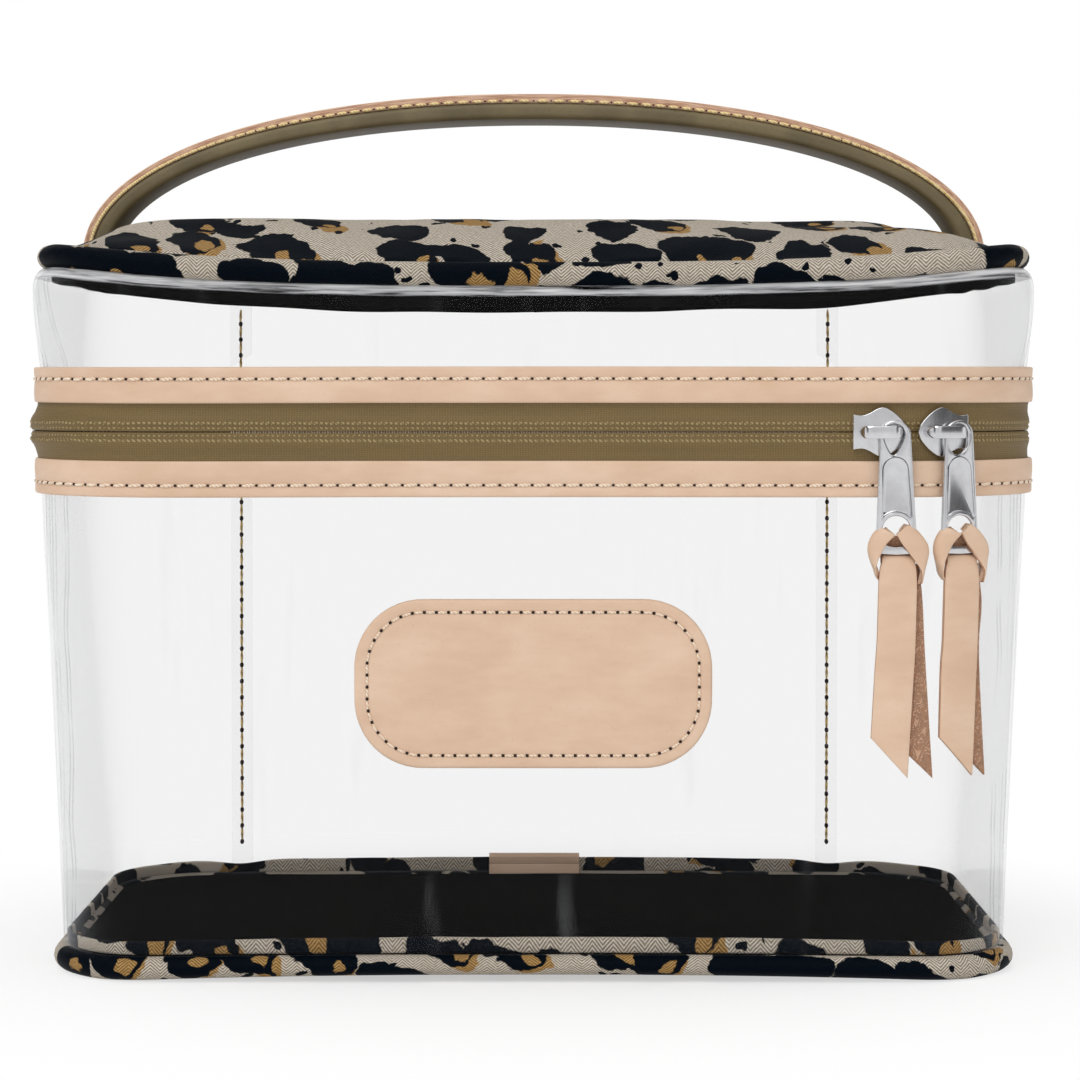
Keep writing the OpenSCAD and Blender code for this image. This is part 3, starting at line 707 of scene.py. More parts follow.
def bindingBend(s, out, z):
    near = seamNear(s)
    high = ease(7, 12, z)
    ripple = 0.3 * wave(s * 0.06, 0.0, 5.0)
    return s, out - near * floor["seamPush"] * high * (out < -1.6), z - near * floor["seamDip"] * high + ripple * high


bindingMesh = sweep(roundedProfile(-case["sheet"] - 0.1 - floor["bindingThick"], -case["sheet"] - 0.1, 6.4,
                                   floor["bindingTop"] + 0.3, 0.6), step=2.5, bend=bindingBend, soft=False)
toPiece(bindingMesh, "baseBinding", clothFor["binding"], "base", ("base_binding",))


def bindingTab():
    tab = {"half": 13.5, "thick": 1.2, "inner": -3.2, "z0": 5.8, "top": 10.9}
    outer = -case["sheet"] + 0.05
    inner = tab["inner"]
    over = [(outer, tab["z0"] + 1), (outer, tab["top"] - 0.8), (outer - 0.8, tab["top"]), (inner + 0.6, tab["top"]),
            (inner - 0.4, tab["top"] - 0.9), (inner - 0.4, 8.6), (inner - 0.15, 8.2), (inner - 0.4, 7.8),
            (inner - 0.4, tab["z0"]), (inner + 0.7, tab["z0"]), (inner + 0.7, tab["top"] - 1.3),
            (outer - 0.5, tab["top"] - 1.3), (outer - 0.5, tab["z0"] + 1)]
    mesh = sweep(over, -tab["half"], tab["half"], 2.0, soft=False)
    return toPiece(mesh, "bindingTab", tan, "base", ("base_binding_tab",), 35.0)


bindingTab()
print("bottom end ready")

# ---- clear walls ----

lap = {"foot": case["backCut"] - 6.5, "blendZ": 4.0}


# The side sheets step up and lie over the back panel, except where the zip's band covers them.
def wallBend(keepLow, keepHigh):
    def bend(s, out, z):
        fromBack = min(s, runLength - s)
        lapped = 1 - max(ease(keepLow - lap["blendZ"], keepLow, z) * (1 - ease(keepHigh, keepHigh + 4, z)), 0.0)
        if fromBack < 100:
            clearOf = mix(case["backCut"], 100, (fromBack - lap["foot"]) / (100 - lap["foot"]))
            moved = mix(clearOf, fromBack, lapped)
            s = moved if s < frontMiddle else runLength - moved
            out += (case["sheet"] + 0.05) * (1 - ease(91.0, 94.5, fromBack)) * lapped
        return s, out, z
    return bend


def wallPiece(name, z0, z1, body, stands, finish=vinyl):
    low, high = case["lowerTrimZ"][0] - 0.5, case["upperTrimZ"][1] + 0.5
    mesh = sweep(sheetProfile(z0, z1, 0.0, case["sheet"]), lap["foot"], runLength - lap["foot"], 3.0,
                 bend=wallBend(low, high))
    return toPiece(mesh, name, finish, body, stands, 60.0)


lowerWall = wallPiece("lowerWall", case["footZ"] - 0.6, span("lower_wall", 2)[1], "base", ("lower_wall",))
upperWall = wallPiece("upperWall", span("upper_wall", 2)[0], case["headZ"] - case["piping"] + 0.6, "lid",
                      ("upper_wall",), glintedUpperSheet)


def backPanel():
    halfPanel = case["backCut"] - 0.3
    mesh = sweep(sheetProfile(case["footZ"] - 0.6, case["headZ"] - case["piping"] + 0.6, 0.0, case["sheet"], 1.6),
                 -halfPanel, halfPanel, 4.0)
    piece = toPiece(mesh, "backPanel", vinyl, None, ("lower_back_panel", "upper_back_panel"), 60.0)
    return foldOver(piece)


def foldOver(piece):
    y = case["bandHalfY"] * mm
    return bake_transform(piece)


backPanel()


def seamStitches(name, z0, z1):
    pitch = 4.9
    threads, pricks = [], []
    for side in (1, -1):
        n = round((z1 - z0) / pitch)
        for i in range(n):
            z = z0 + pitch * i
            for at, kept in ((z + pitch / 2, threads), (z, pricks)):
                here, along, out = runFrame(side * case["seam"], at, 0.0)
                kept.append((here, along.cross(out) * -1, out))
    return threads, pricks


threads, pricks = seamStitches("seam", 15.0, 178.0)
seamThread = toPiece(ovals(threads, (4.4, 0.85, 2.6)), "seamThread", goldThread, None)
# The seam's knots take the needle holes' painted shade.
seamHoles = toPiece(ovals(pricks, (1.7, 1.3, 2.9)), "seamKnots", holes, None)
for piece in (seamThread, seamHoles):
    foldOver(piece)
print("clear walls ready")

# ---- zip band ----

trim = {"thick": 1.6, "over": 0.85, "round": 0.55, "groove": 0.22, "stitchIn": 3.05, "pitch": 4.1}
trimRun = (case["backCut"], runLength - case["backCut"])


# The lower trim's section, which the upper one mirrors about the zip.
def trimProfile(mirrored):
    z0, z1 = case["lowerTrimZ"]
    tuck = span("lower_zip_tape", 2)[0]
    r, thick, row = trim["round"], trim["thick"], z0 + trim["stitchIn"]
    arcs = [(thick - r, z0 + r, -90), (thick - r, z1 - r, 0)]
    turned = [[(x + r * math.cos(math.radians(a + 22.5 * i)), z + r * math.sin(math.radians(a + 22.5 * i)))
               for i in range(5)] for x, z, a in arcs]
    groove = [(thick, row - 0.9), (thick - trim["groove"], row - 0.3), (thick - trim["groove"], row + 0.3),
              (thick, row + 0.9)]
    crown = [(thick + 0.12, mix(row + 1.2, z1 - r, 0.35)), (thick + 0.12, mix(row + 1.2, z1 - r, 0.7))]
    points = [(0.0, z0)] + turned[0] + groove + crown + turned[1] + [(trim["over"], z1), (trim["over"], tuck - 0.1),
                                                                      (0.0, tuck - 0.1)]
    if mirrored:
        points = [(out, 2 * case["zipZ"] - z) for out, z in reversed(points)]
    return points


def trimBend(s, out, z):
    return s, out + 0.12 * wave(s * 0.03, z * 0.1, 4.4), z + 0.25 * wave(s * 0.012, 0.0, 6.6)


def stitchRow(z, out, s0, s1, pitch, slant=0.0, bend=None):
    threads, pricks = [], []
    n = round((s1 - s0) / pitch)
    for i in range(n):
        for at, kept in ((i + 0.5, threads), (i, pricks)):
            s, o, zz = s0 + pitch * at, out, z
            if bend:
                s, o, zz = bend(s, o, zz)
            here, along, outward = runFrame(s, zz, o)
            tilt = slant * (1 + 0.4 * wave(at, z, 1.0))
            along = Matrix.Rotation(tilt, 3, outward) @ along
            kept.append((here, along, outward))
    return threads, pricks


for name, mirrored, body in (("lower", False, "base"), ("upper", True, "lid")):
    mesh = sweep(trimProfile(mirrored), *trimRun, step=2.5, bend=trimBend)
    toPiece(mesh, name + "Trim", tan, body, (name + "_trim",), 50.0)
    z0, z1 = case[name + "TrimZ"]
    row = z1 - trim["stitchIn"] if mirrored else z0 + trim["stitchIn"]
    threads, pricks = stitchRow(row, trim["thick"] - 0.02, trimRun[0] + 2, trimRun[1] - 2, trim["pitch"], 0.07,
                                trimBend)
    toPiece(ovals(threads, (3.6, 0.9, 0.75), 6, 8), name + "TrimThread", paleThread, body)
    toPiece(ovals(pricks, (0.8, 0.75, 0.5)), name + "TrimHoles", holes, body)

tape = {"out": 0.45, "ridge": 0.85, "gap": 0.1, "puff": 2.7, "side": 203.0, "wide": 44.0, "beadPitch": 1.36,
        "beadRows": ((2.2, 1.0, 0.5), (0.95, 0.7, -0.4))}  # from the zip's line, size, slant


# The tape stands out where it goes round the left side. On the right it lies flat, out of the slider's way.
def tapeBend(s, out, z):
    side = math.exp(-((s - tape["side"]) / tape["wide"]) ** 4)
    reach = 1 - min(1.0, abs(z - case["zipZ"]) / 7.4) ** 2
    return s, out + tape["puff"] * side * reach * (0.9 + 0.5 * wave(z * 0.35, s * 0.02, 1.7)) * (out > 0.1), z


def tapeProfile(mirrored):
    z1 = case["zipZ"] - tape["gap"]
    z0 = span("lower_zip_tape", 2)[0]
    points = [(0.02, z0), (0.75, z0), (0.75, 133.2), (tape["out"], 134.4), (0.4, 136.2), (0.62, 137.2),
              (tape["ridge"], 138.0), (0.78, 138.85), (0.6, 139.5), (0.66, 140.1), (0.5, z1 - 0.1), (0.25, z1),
              (0.02, z1 - 0.15), (0.02, 136.0)]
    if mirrored:
        points = [(out, 2 * case["zipZ"] - z) for out, z in reversed(points)]
    return points


coil = {"pitch": 1.36, "out": -1.1, "reachOut": 0.75, "reachZ": 1.95, "wire": 0.3, "fromZip": 1.9}


# One nylon monofilament wound along the tape's edge.
def coilMesh(side):
    turns = round((trimRun[1] - trimRun[0]) / coil["pitch"])
    perTurn, sides = 9, 4
    z = case["zipZ"] + side * coil["fromZip"]

    def place(a, b):
        angle, around = 2 * math.pi * (a * turns + side / 4), -2 * math.pi * b * side
        reach = coil["wire"] * math.cos(around)
        s = mix(*trimRun, a) + coil["wire"] * math.sin(around)
        out = coil["out"] + (coil["reachOut"] + reach) * math.cos(angle)
        return atRun(s, z + side * (coil["reachZ"] + reach) * math.sin(angle), out)

    mesh = mapped(turns * perTurn, sides, place, lambda a, b: (a * 600, b * 2), wrap=True)
    bmesh.ops.holes_fill(mesh, edges=openEdges(mesh), sides=0)
    bmesh.ops.recalc_face_normals(mesh, faces=mesh.faces)
    return mesh


for name, side, body in (("lower", -1, "base"), ("upper", 1, "lid")):
    mesh = sweep(tapeProfile(side > 0), *trimRun, step=2.5, bend=tapeBend)
    toPiece(mesh, name + "Tape", tapeCloth, body, (name + "_zip_tape",), 50.0)
    for i, (away, big, slant) in enumerate(tape["beadRows"]):
        beads, _ = stitchRow(case["zipZ"] + side * away, tape["ridge"] - 0.06 - 0.12 * i, trimRun[0] + 1,
                             trimRun[1] - 1, tape["beadPitch"], slant * side, tapeBend)
        toPiece(ovals(beads, (1.2 * big, 0.75 * big, 0.3), 4, 5), f"{name}TapeBeads{i}", beadThread, body)
    toPiece(coilMesh(side), name + "Coil", coilNylon, body, (name + "_zip_coil",))
print("zip band ready")

# ---- blank patch ----

patch = {"halfX": 45.5, "halfY": 21.6, "r": 17.5, "thick": 1.8, "stitchIn": 3.3, "pitch": 3.05, "z": 77.0}


def onPatch(x, y, out):
    return atRun(frontMiddle + x, patch["z"] + y, out)


def patchFrame(x, y, out):
    here = onPatch(x, y, out)
    right = (onPatch(x + 1, y, out) - here).normalized()
    up = (onPatch(x, y + 1, out) - here).normalized()
    return here, right, up, right.cross(up).normalized()


def patchMesh():
    lines = [0.0, 0.15, 0.45, 0.9, 1.6, 2.4, 2.9, 3.3, 3.7, 4.2, 5.5]

    def place(x, y, edge):
        rim = math.sqrt(max(0.0, 1 - (1 - min(1.0, edge / 0.9)) ** 2))
        groove = 0.25 * math.exp(-((edge - patch["stitchIn"]) / 0.45) ** 2)
        swell = 0.15 * wave(x * 0.06, y * 0.06, 9.0) * ease(4, 10, edge)
        return onPatch(x, y, 0.05 + (patch["thick"] - 0.7) * 1.0 + 0.65 * rim - groove + swell)

    mesh = panel(patch["halfX"], patch["halfY"], patch["r"], lines, 2.6, place)
    made = bmesh.ops.extrude_edge_only(mesh, edges=openEdges(mesh))["geom"]
    for vert in made:
        if isinstance(vert, bmesh.types.BMVert):
            vert.co.y += patch["thick"] - 0.7
    bmesh.ops.holes_fill(mesh, edges=openEdges(mesh), sides=0)
    return mesh


toPiece(patchMesh(), "namePatch", tan, "base", ("name_patch",), 60.0)


def patchStitches():
    halfX, halfY, r = (patch[key] - patch["stitchIn"] for key in ("halfX", "halfY", "r"))
    run = stretches(halfX, halfY, r)
    n = round(sum(run) / patch["pitch"])
    threads, pricks = [], []
    for i in range(n):
        for at, kept in ((i + 0.5, threads), (i, pricks)):
            ends = []
            for nudge in (0.0, 0.02):
                leg, t = findLeg((at + nudge) * sum(run) / n, run)
                centre, angle = legPoint(leg, t, halfX, halfY, r)
                flat = centre + Vector((math.cos(angle), math.sin(angle))) * r
                ends.append(onPatch(flat.x, flat.y, patch["thick"] - 0.05))
            outward = patchFrame(0, 0, 0)[3]
            kept.append((ends[0], (ends[1] - ends[0]).normalized(), outward))
    return threads, pricks


threads, pricks = patchStitches()
toPiece(ovals(threads, (2.5, 0.7, 0.6), 6, 8), "patchThread", paleThread, "base")
toPiece(ovals(pricks, (0.95, 0.9, 0.6)), "patchHoles", holes, "base")
print("patch ready")

# ---- padded top ----

lid = {
    "top": span("lid_panel", 2)[1] - 1.1, "shoulder": 30.0, "steep": 0.6, "seamRise": 1.6, "boardTop": span("lid_board", 2)[1],
    "liningTop": span("lid_lining", 2)[1], "liningLow": span("lid_lining", 2)[0],
    "bindingLow": span("lid_binding", 2)[0], "pressure": 4.0, "spare": 0.02, "cap": 1.3,
}
cordAndCover(case["headZ"], clothFor["cordHigh"], "lid", ("lidPiping", "lidPipingCord"),
             ("lid_piping", "lid_piping_core"))


def lidTop(x, y, edge):
    rise = math.sin(math.pi / 2 * min(1.0, edge / lid["shoulder"])) ** lid["steep"]
    seam = case["headZ"] + lid["seamRise"] + lift(x, case["headZ"])
    pucker = 0.4 * wave(x * 0.12, y * 0.12, 5.5) * ease(0, 2, edge) * (1 - ease(4, 24, edge))
    return Vector((x, y, mix(seam, lid["top"], rise) + pucker + 0.45 * wave(x * 0.025, y * 0.04, 7.7) * rise))


def lidCoverMesh():
    out = floor["edgeOut"]
    mesh = panel(head[0] + out, head[1] + out, case["endRadius"] + out, edges, 4.0, lidTop)
    low = lid["boardTop"] + 0.1
    return closeUnder(mesh, lambda co: Vector((co.x, co.y, low + lift(co.x, case["headZ"]))))


# Air pressure under cloth that has a little to spare, sewn down at its edge; no point moves further than the cap.
def puff(piece, sewn, pressure, spare, cap):
    was = [vert.co.copy() for vert in piece.data.vertices]
    held = piece.vertex_groups.new(name="sewn")
    held.add([i for i, co in enumerate(was) if sewn(co)], 1.0, "REPLACE")
    cloth = piece.modifiers.new("cloth", "CLOTH")
    cloth.settings.vertex_group_mass = "sewn"
    cloth.settings.use_pressure = True
    cloth.settings.uniform_pressure_force = pressure
    cloth.settings.shrink_min = -spare
    cloth.settings.effector_weights.gravity = 0.0
    for moment in range(1, 21):
        bpy.context.scene.frame_set(moment)
    shaped = piece.evaluated_get(bpy.context.evaluated_depsgraph_get())
    now = [vert.co.copy() for vert in shaped.data.vertices]
    piece.modifiers.remove(cloth)
    bpy.context.scene.frame_set(1)
    for vert, start, end in zip(piece.data.vertices, was, now):
        move = end - start
        vert.co = start + move * min(1.0, cap * mm / max(move.length, 1e-9))


lidCover = toPiece(lidCoverMesh(), "lidCover", clothFor["lid"], "lid",
                   ("lid_panel", "lid_padding"))


def sewnDown(co):
    fromEdge = min(head[0] + floor["edgeOut"] - abs(co.x) / mm, head[1] + floor["edgeOut"] - abs(co.y) / mm)
    return fromEdge < 1.0 or co.z / mm < lid["boardTop"] + 0.6


puff(lidCover, sewnDown, lid["pressure"], lid["spare"], lid["cap"])
finer = lidCover.modifiers.new("finer", "SUBSURF")
finer.levels = finer.render_levels = 1
flatPanel(head, lid["boardTop"], lid["liningTop"] + 0.1, "lidBoard", board, "lid", ("lid_board",))
flatPanel(head, lid["liningTop"], lid["liningLow"], "lidLining", lining, "lid", ("lid_lining",))


def lidBindingBend(s, out, z):
    low = 1 - ease(lid["bindingLow"], lid["bindingLow"] + 2.5, z)
    return s, out + 0.35 * wave(s * 0.05, 1.0, 2.0) * low, z + (0.6 + 1.2 * wave(s * 0.03, 0.0, 8.0)) * low


lidBindingMesh = sweep(roundedProfile(-3.3, -case["sheet"] - 0.1, lid["bindingLow"], span("lid_binding", 2)[1], 0.5),
                       step=2.5, bend=lidBindingBend, soft=False)
toPiece(lidBindingMesh, "lidBinding", lining, "lid", ("lid_binding",))
print("padded top ready")

# ---- handle ----

handle = {
    "half": span("handle_strap", 0)[1] - 0.7, "crown": span("handle_strap", 2)[1], "spring": case["headZ"] + 3.5,
    "power": 2.15, "footZ": span("handle_strap", 2)[0], "strapHalf": 11.0, "strap": 2.4, "gripHalf": 11.6,
    "grip": 4.4, "stitchPitch": 3.3, "steps": 150,
}


# A point of the arch: a runs from the left foot to the right one, inBy is measured in from the leather's top.
def onArch(a, y, inBy):
    half, rise = handle["half"] - inBy, handle["crown"] - handle["spring"] - inBy
    leg = 0.02
    if a < leg or a > 1 - leg:
        down = (leg - min(a, 1 - a)) / leg
        z = mix(handle["spring"], handle["footZ"], down)
        return Vector((-half if a < leg else half, y, z))
    angle = math.pi * (1 - (a - leg) / (1 - 2 * leg))
    c, s = math.cos(angle), math.sin(angle)
    x = math.copysign(half * abs(c) ** (2 / handle["power"]), c)
    return Vector((x, y, handle["spring"] + rise * max(0.0, s) ** (2 / handle["power"])))


def archStrip(half, in0, in1, r, bow=0.0):
    profile = roundedProfile(-half, half, in0, in1, r, 4)
    points = profile + profile[:1]
    lengths = runningLengths(points)
    nv = len(points) - 1

    def place(a, b):
        y, inBy = points[round(b * nv)]
        slack = 1 + bow * wave(a * 9, inBy * 0.3, 3.3)
        return onArch(a, y * slack, inBy)

    def part(a, b):
        y = sum(points[round(b * nv + k)][0] for k in (-0.5, 0.5)) / 2
        return 1 if abs(y) > half - 0.4 * r else 0

    mesh = mapped(handle["steps"], nv, place, lambda a, b: (a * 340, lengths[round(b * nv)]), True, part)
    bmesh.ops.holes_fill(mesh, edges=openEdges(mesh), sides=0)
    bmesh.ops.recalc_face_normals(mesh, faces=mesh.faces)
    return mesh


strapPiece = toPiece(archStrip(handle["strapHalf"], 0, handle["strap"], 0.5), "handleStrap", tan, "lid",
                     ("handle_strap",))
strapPiece.data.materials.append(edgeTan)
toPiece(archStrip(handle["gripHalf"], handle["strap"] + 0.02, handle["strap"] + handle["grip"], 1.5, 0.01),
        "handleGrip", olive, "lid", ("handle_grip",), 60.0)


def handleStitches():
    threads, pricks = [], []
    n = round(330 / handle["stitchPitch"])
    for side in (-1, 1):
        y = side * (handle["strapHalf"] + 0.1)
        for i in range(n):
            for at, kept in ((i + 0.5, threads), (i, pricks)):
                a = mix(0.03, 0.97, at / n)
                here = onArch(a, y, handle["strap"] - 0.5)
                along = (onArch(a + 0.002, y, handle["strap"]) - onArch(a - 0.002, y, handle["strap"])).normalized()
                kept.append((here, along, Vector((0, side, 0))))
    return threads, pricks


threads, pricks = handleStitches()
toPiece(ovals(threads, (2.9, 0.85, 0.7), 6, 8), "handleThread", strawThread, "lid")
toPiece(ovals(pricks, (0.5, 0.5, 0.4)), "handleHoles", holes, "lid")
print("handle ready")

# ---- zip sliders ----

slider = {
    "leftX": sum(span("slider_left", 0)) / 2, "rightTurn": 19.4, "plateLow": 1.0, "plateTop": 2.0, "bailTop": 6.4,
    "post": 4.3, "postR": 1.2, "bailHalf": 1.6, "bailThick": 0.62, "edge": 0.22,
    "innerLow": -4.0, "innerTop": -3.0, "channel": 5.0, "rimY": -5.1, "rimTop": -1.2,
}
pull = {"x": 3.5, "low": 2.85, "top": 4.15, "pocket": 0.25, "edge": 0.4, "bar": -30.4}


# The frame of a slider: x along the zip, y up, z away from the clear wall.
def onZip(turn, x=None):
    angle = math.radians(turn)
    along, out = Vector((math.cos(angle), math.sin(angle), 0)), Vector((math.sin(angle), -math.cos(angle), 0))
    r = case["bandRadius"]
    centre = Vector((case["bandHalfX"] - r, -(case["bandHalfY"] - r), case["zipZ"])) + out * r
    if x is not None:
        centre.x = x
    axes = (along, Vector((0, 0, 1)), out)
    return Matrix.Translation(centre) @ Matrix([[axis[i] for axis in axes] for i in range(3)]).to_4x4()


# A smooth line through a few points, as a function from 0 to 1; a closed one comes back to its start.
def curveThrough(points, closed=False):
    spots = [Vector(p) for p in points]
    n = len(spots) - (0 if closed else 1)

    def at(t):
        i = min(int(t * n), n - 1)
        k = t * n - i
        near = [(i + j) % len(spots) if closed else min(max(i + j, 0), n) for j in (-1, 0, 1, 2)]
        p0, p1, p2, p3 = (spots[j] for j in near)
        return 0.5 * (2 * p1 + (p2 - p0) * k + (2 * p0 - 5 * p1 + 4 * p2 - p3) * k ** 2
                      + (3 * p1 - p0 - 3 * p2 + p3) * k ** 3)
    return at


def ringOf(points, steps):
    at = curveThrough(points, True)
    return [at(i / steps) for i in range(steps)]


def arcOf(cx, cy, rx, ry, a0, a1, steps):
    angles = [math.radians(mix(a0, a1, i / steps)) for i in range(steps + 1)]
    return [Vector((cx + rx * math.cos(a), cy + ry * math.sin(a))) for a in angles]


def drawn(mesh, loop, z):
    verts = [mesh.verts.new((p[0], p[1], z)) for p in loop]
    return [mesh.edges.new(pair) for pair in zip(verts, verts[1:] + verts[:1])]


def facesOf(made):
    return [item for item in made if isinstance(item, bmesh.types.BMFace)]


# Sheet metal stamped to an outline, with holes, rounded rims and a shallow pocket in its face.
def stamped(outline, inner, z0, z1, edge, pocket=None, depth=0.0):
    mesh = bmesh.new()
    rims = [one for loop in [outline] + inner for one in drawn(mesh, loop, z1)]
    hollow = drawn(mesh, pocket, z1) if pocket else []
    bmesh.ops.triangle_fill(mesh, use_beauty=True, use_dissolve=False, edges=rims + hollow)
    if pocket:
        sunk = facesOf(bmesh.ops.triangle_fill(mesh, use_beauty=True, use_dissolve=False, edges=hollow)["geom"])
        moved = bmesh.ops.extrude_face_region(mesh, geom=sunk)["geom"]
        bmesh.ops.delete(mesh, geom=sunk, context="FACES_ONLY")
        bmesh.ops.translate(mesh, vec=(0, 0, -depth), verts=[v for v in moved if isinstance(v, bmesh.types.BMVert)])
    walls = bmesh.ops.extrude_edge_only(mesh, edges=openEdges(mesh))["geom"]
    for vert in walls:
        if isinstance(vert, bmesh.types.BMVert):
            vert.co.z = z0
    bmesh.ops.triangle_fill(mesh, use_beauty=True, use_dissolve=False, edges=openEdges(mesh))
    bmesh.ops.recalc_face_normals(mesh, faces=mesh.faces)
    bmesh.ops.dissolve_limit(mesh, angle_limit=0.001, verts=mesh.verts, edges=mesh.edges)
    turns = [e for e in mesh.edges if len(e.link_faces) == 2 and e.calc_face_angle() > 1.0]
    bmesh.ops.bevel(mesh, geom=turns, offset=edge, segments=3, profile=0.5, affect="EDGES", material=-1)
    return mesh


def joined(*meshes):
    whole = meshes[0]
    for mesh in meshes[1:]:
        data = bpy.data.meshes.new("part")
        mesh.to_mesh(data)
        mesh.free()
        whole.from_mesh(data)
        bpy.data.meshes.remove(data)
    return whole


def roundedBlock(x0, x1, y0, y1, z0, z1, edge):
    mesh = bmesh.new()
    bmesh.ops.create_cube(mesh, size=1)
    for vert in mesh.verts:
        vert.co = Vector((mix(x0, x1, vert.co.x + 0.5), mix(y0, y1, vert.co.y + 0.5), mix(z0, z1, vert.co.z + 0.5)))
    bmesh.ops.bevel(mesh, geom=mesh.edges[:], offset=edge, segments=2, profile=0.5, affect="EDGES", material=-1)
    return mesh


# One strip that rises from the plate as a post, bends over as a flat bridge and comes down again.
def bailMesh():
    side = [(4.3, 1.6), (4.3, 3.3), (4.28, 4.4), (3.95, 5.3), (3.1, 5.72), (1.5, 5.8)]
    path = curveThrough([(-x, z) for x, z in side] + [(0, 5.8)] + side[::-1])
    sides, rows = 16, 60

    def place(a, b):
        here, step = path(a), path(min(1.0, a + 0.01)) - path(max(0.0, a - 0.01))
        flat = ease(3.4, 5.4, here.y)
        power = 2 / mix(2.0, 4.0, flat)
        c, s = math.cos(2 * math.pi * b), math.sin(2 * math.pi * b)
        wide = math.copysign(abs(c) ** power, c) * mix(slider["postR"], slider["bailHalf"], flat)
        tall = math.copysign(abs(s) ** power, s) * mix(slider["postR"], slider["bailThick"], flat)
        normal = Vector((-step.y, step.x)).normalized()
        return Vector((here.x + normal.x * tall, wide, here.y + normal.y * tall))

    mesh = mapped(rows, sides, place, lambda a, b: (a * 20, b * 8), True)
    bmesh.ops.holes_fill(mesh, edges=openEdges(mesh), sides=0)
    bmesh.ops.recalc_face_normals(mesh, faces=mesh.faces)
    return mesh


# The left slider's tail points left and the right one's points right.
def sliderMesh(facing):
    upper = curveThrough([(-7, 4.45), (-4.7, 4.2), (-2.9, 4.8), (-1.0, 5.85), (0.7, 6.25), (2.8, 5.3), (4.7, 3.75),
                          (6.3, 1.9), (7, 0)])
    top = [upper(i / 40) for i in range(41)]
    low = [Vector((p.x, -p.y)) for p in reversed(top[:-1])]
    outline = [Vector((p.x * facing, p.y)) for p in top + low]
    plate = stamped(outline, [], slider["plateLow"], slider["plateTop"], slider["edge"])
    half, rim = slider["channel"], slider["rimY"]
    inner = roundedBlock(-half, half, rim, 4.0, slider["innerLow"], slider["innerTop"], 0.25)
    flange = roundedBlock(-half, half, rim, rim + 1, slider["innerLow"] + 0.1, slider["rimTop"], 0.25)
    web = roundedBlock(min(facing, facing * 4.8), max(facing, facing * 4.8), -0.3, 0.3, slider["innerTop"] - 0.3,
                       slider["plateLow"] + 0.4, 0.08)
    return joined(plate, inner, flange, web, bailMesh())


# A long tab: an eye for the bail, a tapered face with a sunk panel, and a window over the bar at its foot.
def pullMesh(pointed):
    left, right = (-4.9, -29.4), (5.6, -29.4)
    eye = arcOf(-0.05, -0.9, 3.95, 3.95, 0, 180, 28)
    foot = [(left[0] + 0.15, left[1] - 0.7), (left[0] + 1.1, -30.75), (0.3, -31.0), (right[0] - 1.1, -30.75),
            (right[0] - 0.15, right[1] - 0.7)]
    outline = eye + [Vector(left).lerp(eye[-1], k) for k in (0.66, 0.33, 0)] + [Vector(p) for p in foot]
    outline += [Vector(right).lerp(eye[0], k) for k in (0, 0.33, 0.66)]
    low = mix(2.4, 1.5, pointed)
    hole = ringOf([(2.2, -1.0), (2.1, 0.35), (1.2, 1.55), (-0.45, 1.95), (-2.2, 1.1), (-3.05, -0.7),
                   (-0.5 - low, -3.9), (-0.55, -5.75), (-0.5 + low, -3.9)], 48)
    window = arcOf(0.3, -24.6, 3.5, 3.5, 0, 180, 20) + arcOf(0.3, -27.4, 3.3, 1.5, 180, 360, 14)
    pocket = arcOf(0.0, -9.6, 3.15, 3.3, 0, 180, 16) + [Vector((-3.45, -22.6))]
    pocket += arcOf(0.3, -24.6, 4.6, 4.6, 145, 42, 12) + [Vector((4.15, -21.2))]
    return stamped(outline, [hole, window], pull["low"], pull["top"], pull["edge"], pocket, pull["pocket"])


# ---- leather tassels ----

thong = {"thick": 1.3, "wrap": 2.15, "middle": 3.5, "rear": 1.45, "front": 3.05, "cup": 0.3, "softEdge": 0.22}


# A strap between two edge lines, closed all round; cross gives share across, rise and lean for each point.
def strapMesh(edgeA, edgeB, cross, rows, columns, thick):
    count = 2 * (columns + 1)
    side = 1 if (edgeB(0.5) - edgeA(0.5)).x > 0 else -1

    def place(a, b):
        i = round(b * count) % count
        under = i > columns
        share, rise, lean = cross((count - 1 - i if under else i) / columns, a)
        here = edgeA(a).lerp(edgeB(a), share)
        deep = thick if under else 0.0
        return Vector((here.x - side * deep * math.sin(lean), here.y, here.z + rise - deep * math.cos(lean)))

    def part(a, b):
        i = int(b * count)
        return 1 if i in (columns, count - 1) else 0

    mesh = mapped(rows, count, place, lambda a, b: (a * 50, b * 22), True, part)
    bmesh.ops.holes_fill(mesh, edges=openEdges(mesh), sides=0)
    bmesh.ops.recalc_face_normals(mesh, faces=mesh.faces)
    rims = [e for e in mesh.edges if len(e.link_faces) == 2 and e.calc_face_angle() > 1.0]
    bmesh.ops.bevel(mesh, geom=rims, offset=thong["softEdge"], segments=2, profile=0.5, affect="EDGES", material=-1)
    return mesh


def foldedOver(t, a):
    lean = math.radians(155) * t
    height = thong["wrap"] * (1 - 0.45 * ease(0.75, 1.0, a))
    return math.sin(lean), height * math.cos(lean), lean


def laidFlat(t, a):
    return t, thong["cup"] * (1 - (2 * t - 1) ** 2) + thong["thick"], 0.0


def lobe(inner, outer):
    mid = thong["middle"]
    lines = [curveThrough([(x, y, mid) for x, y in points]) for points in (inner, outer)]
    return strapMesh(*lines, foldedOver, 30, 14, thong["thick"])


def tail(left, right, columns=8):
    return strapMesh(curveThrough(left), curveThrough(right), laidFlat, 48, columns, thong["thick"])


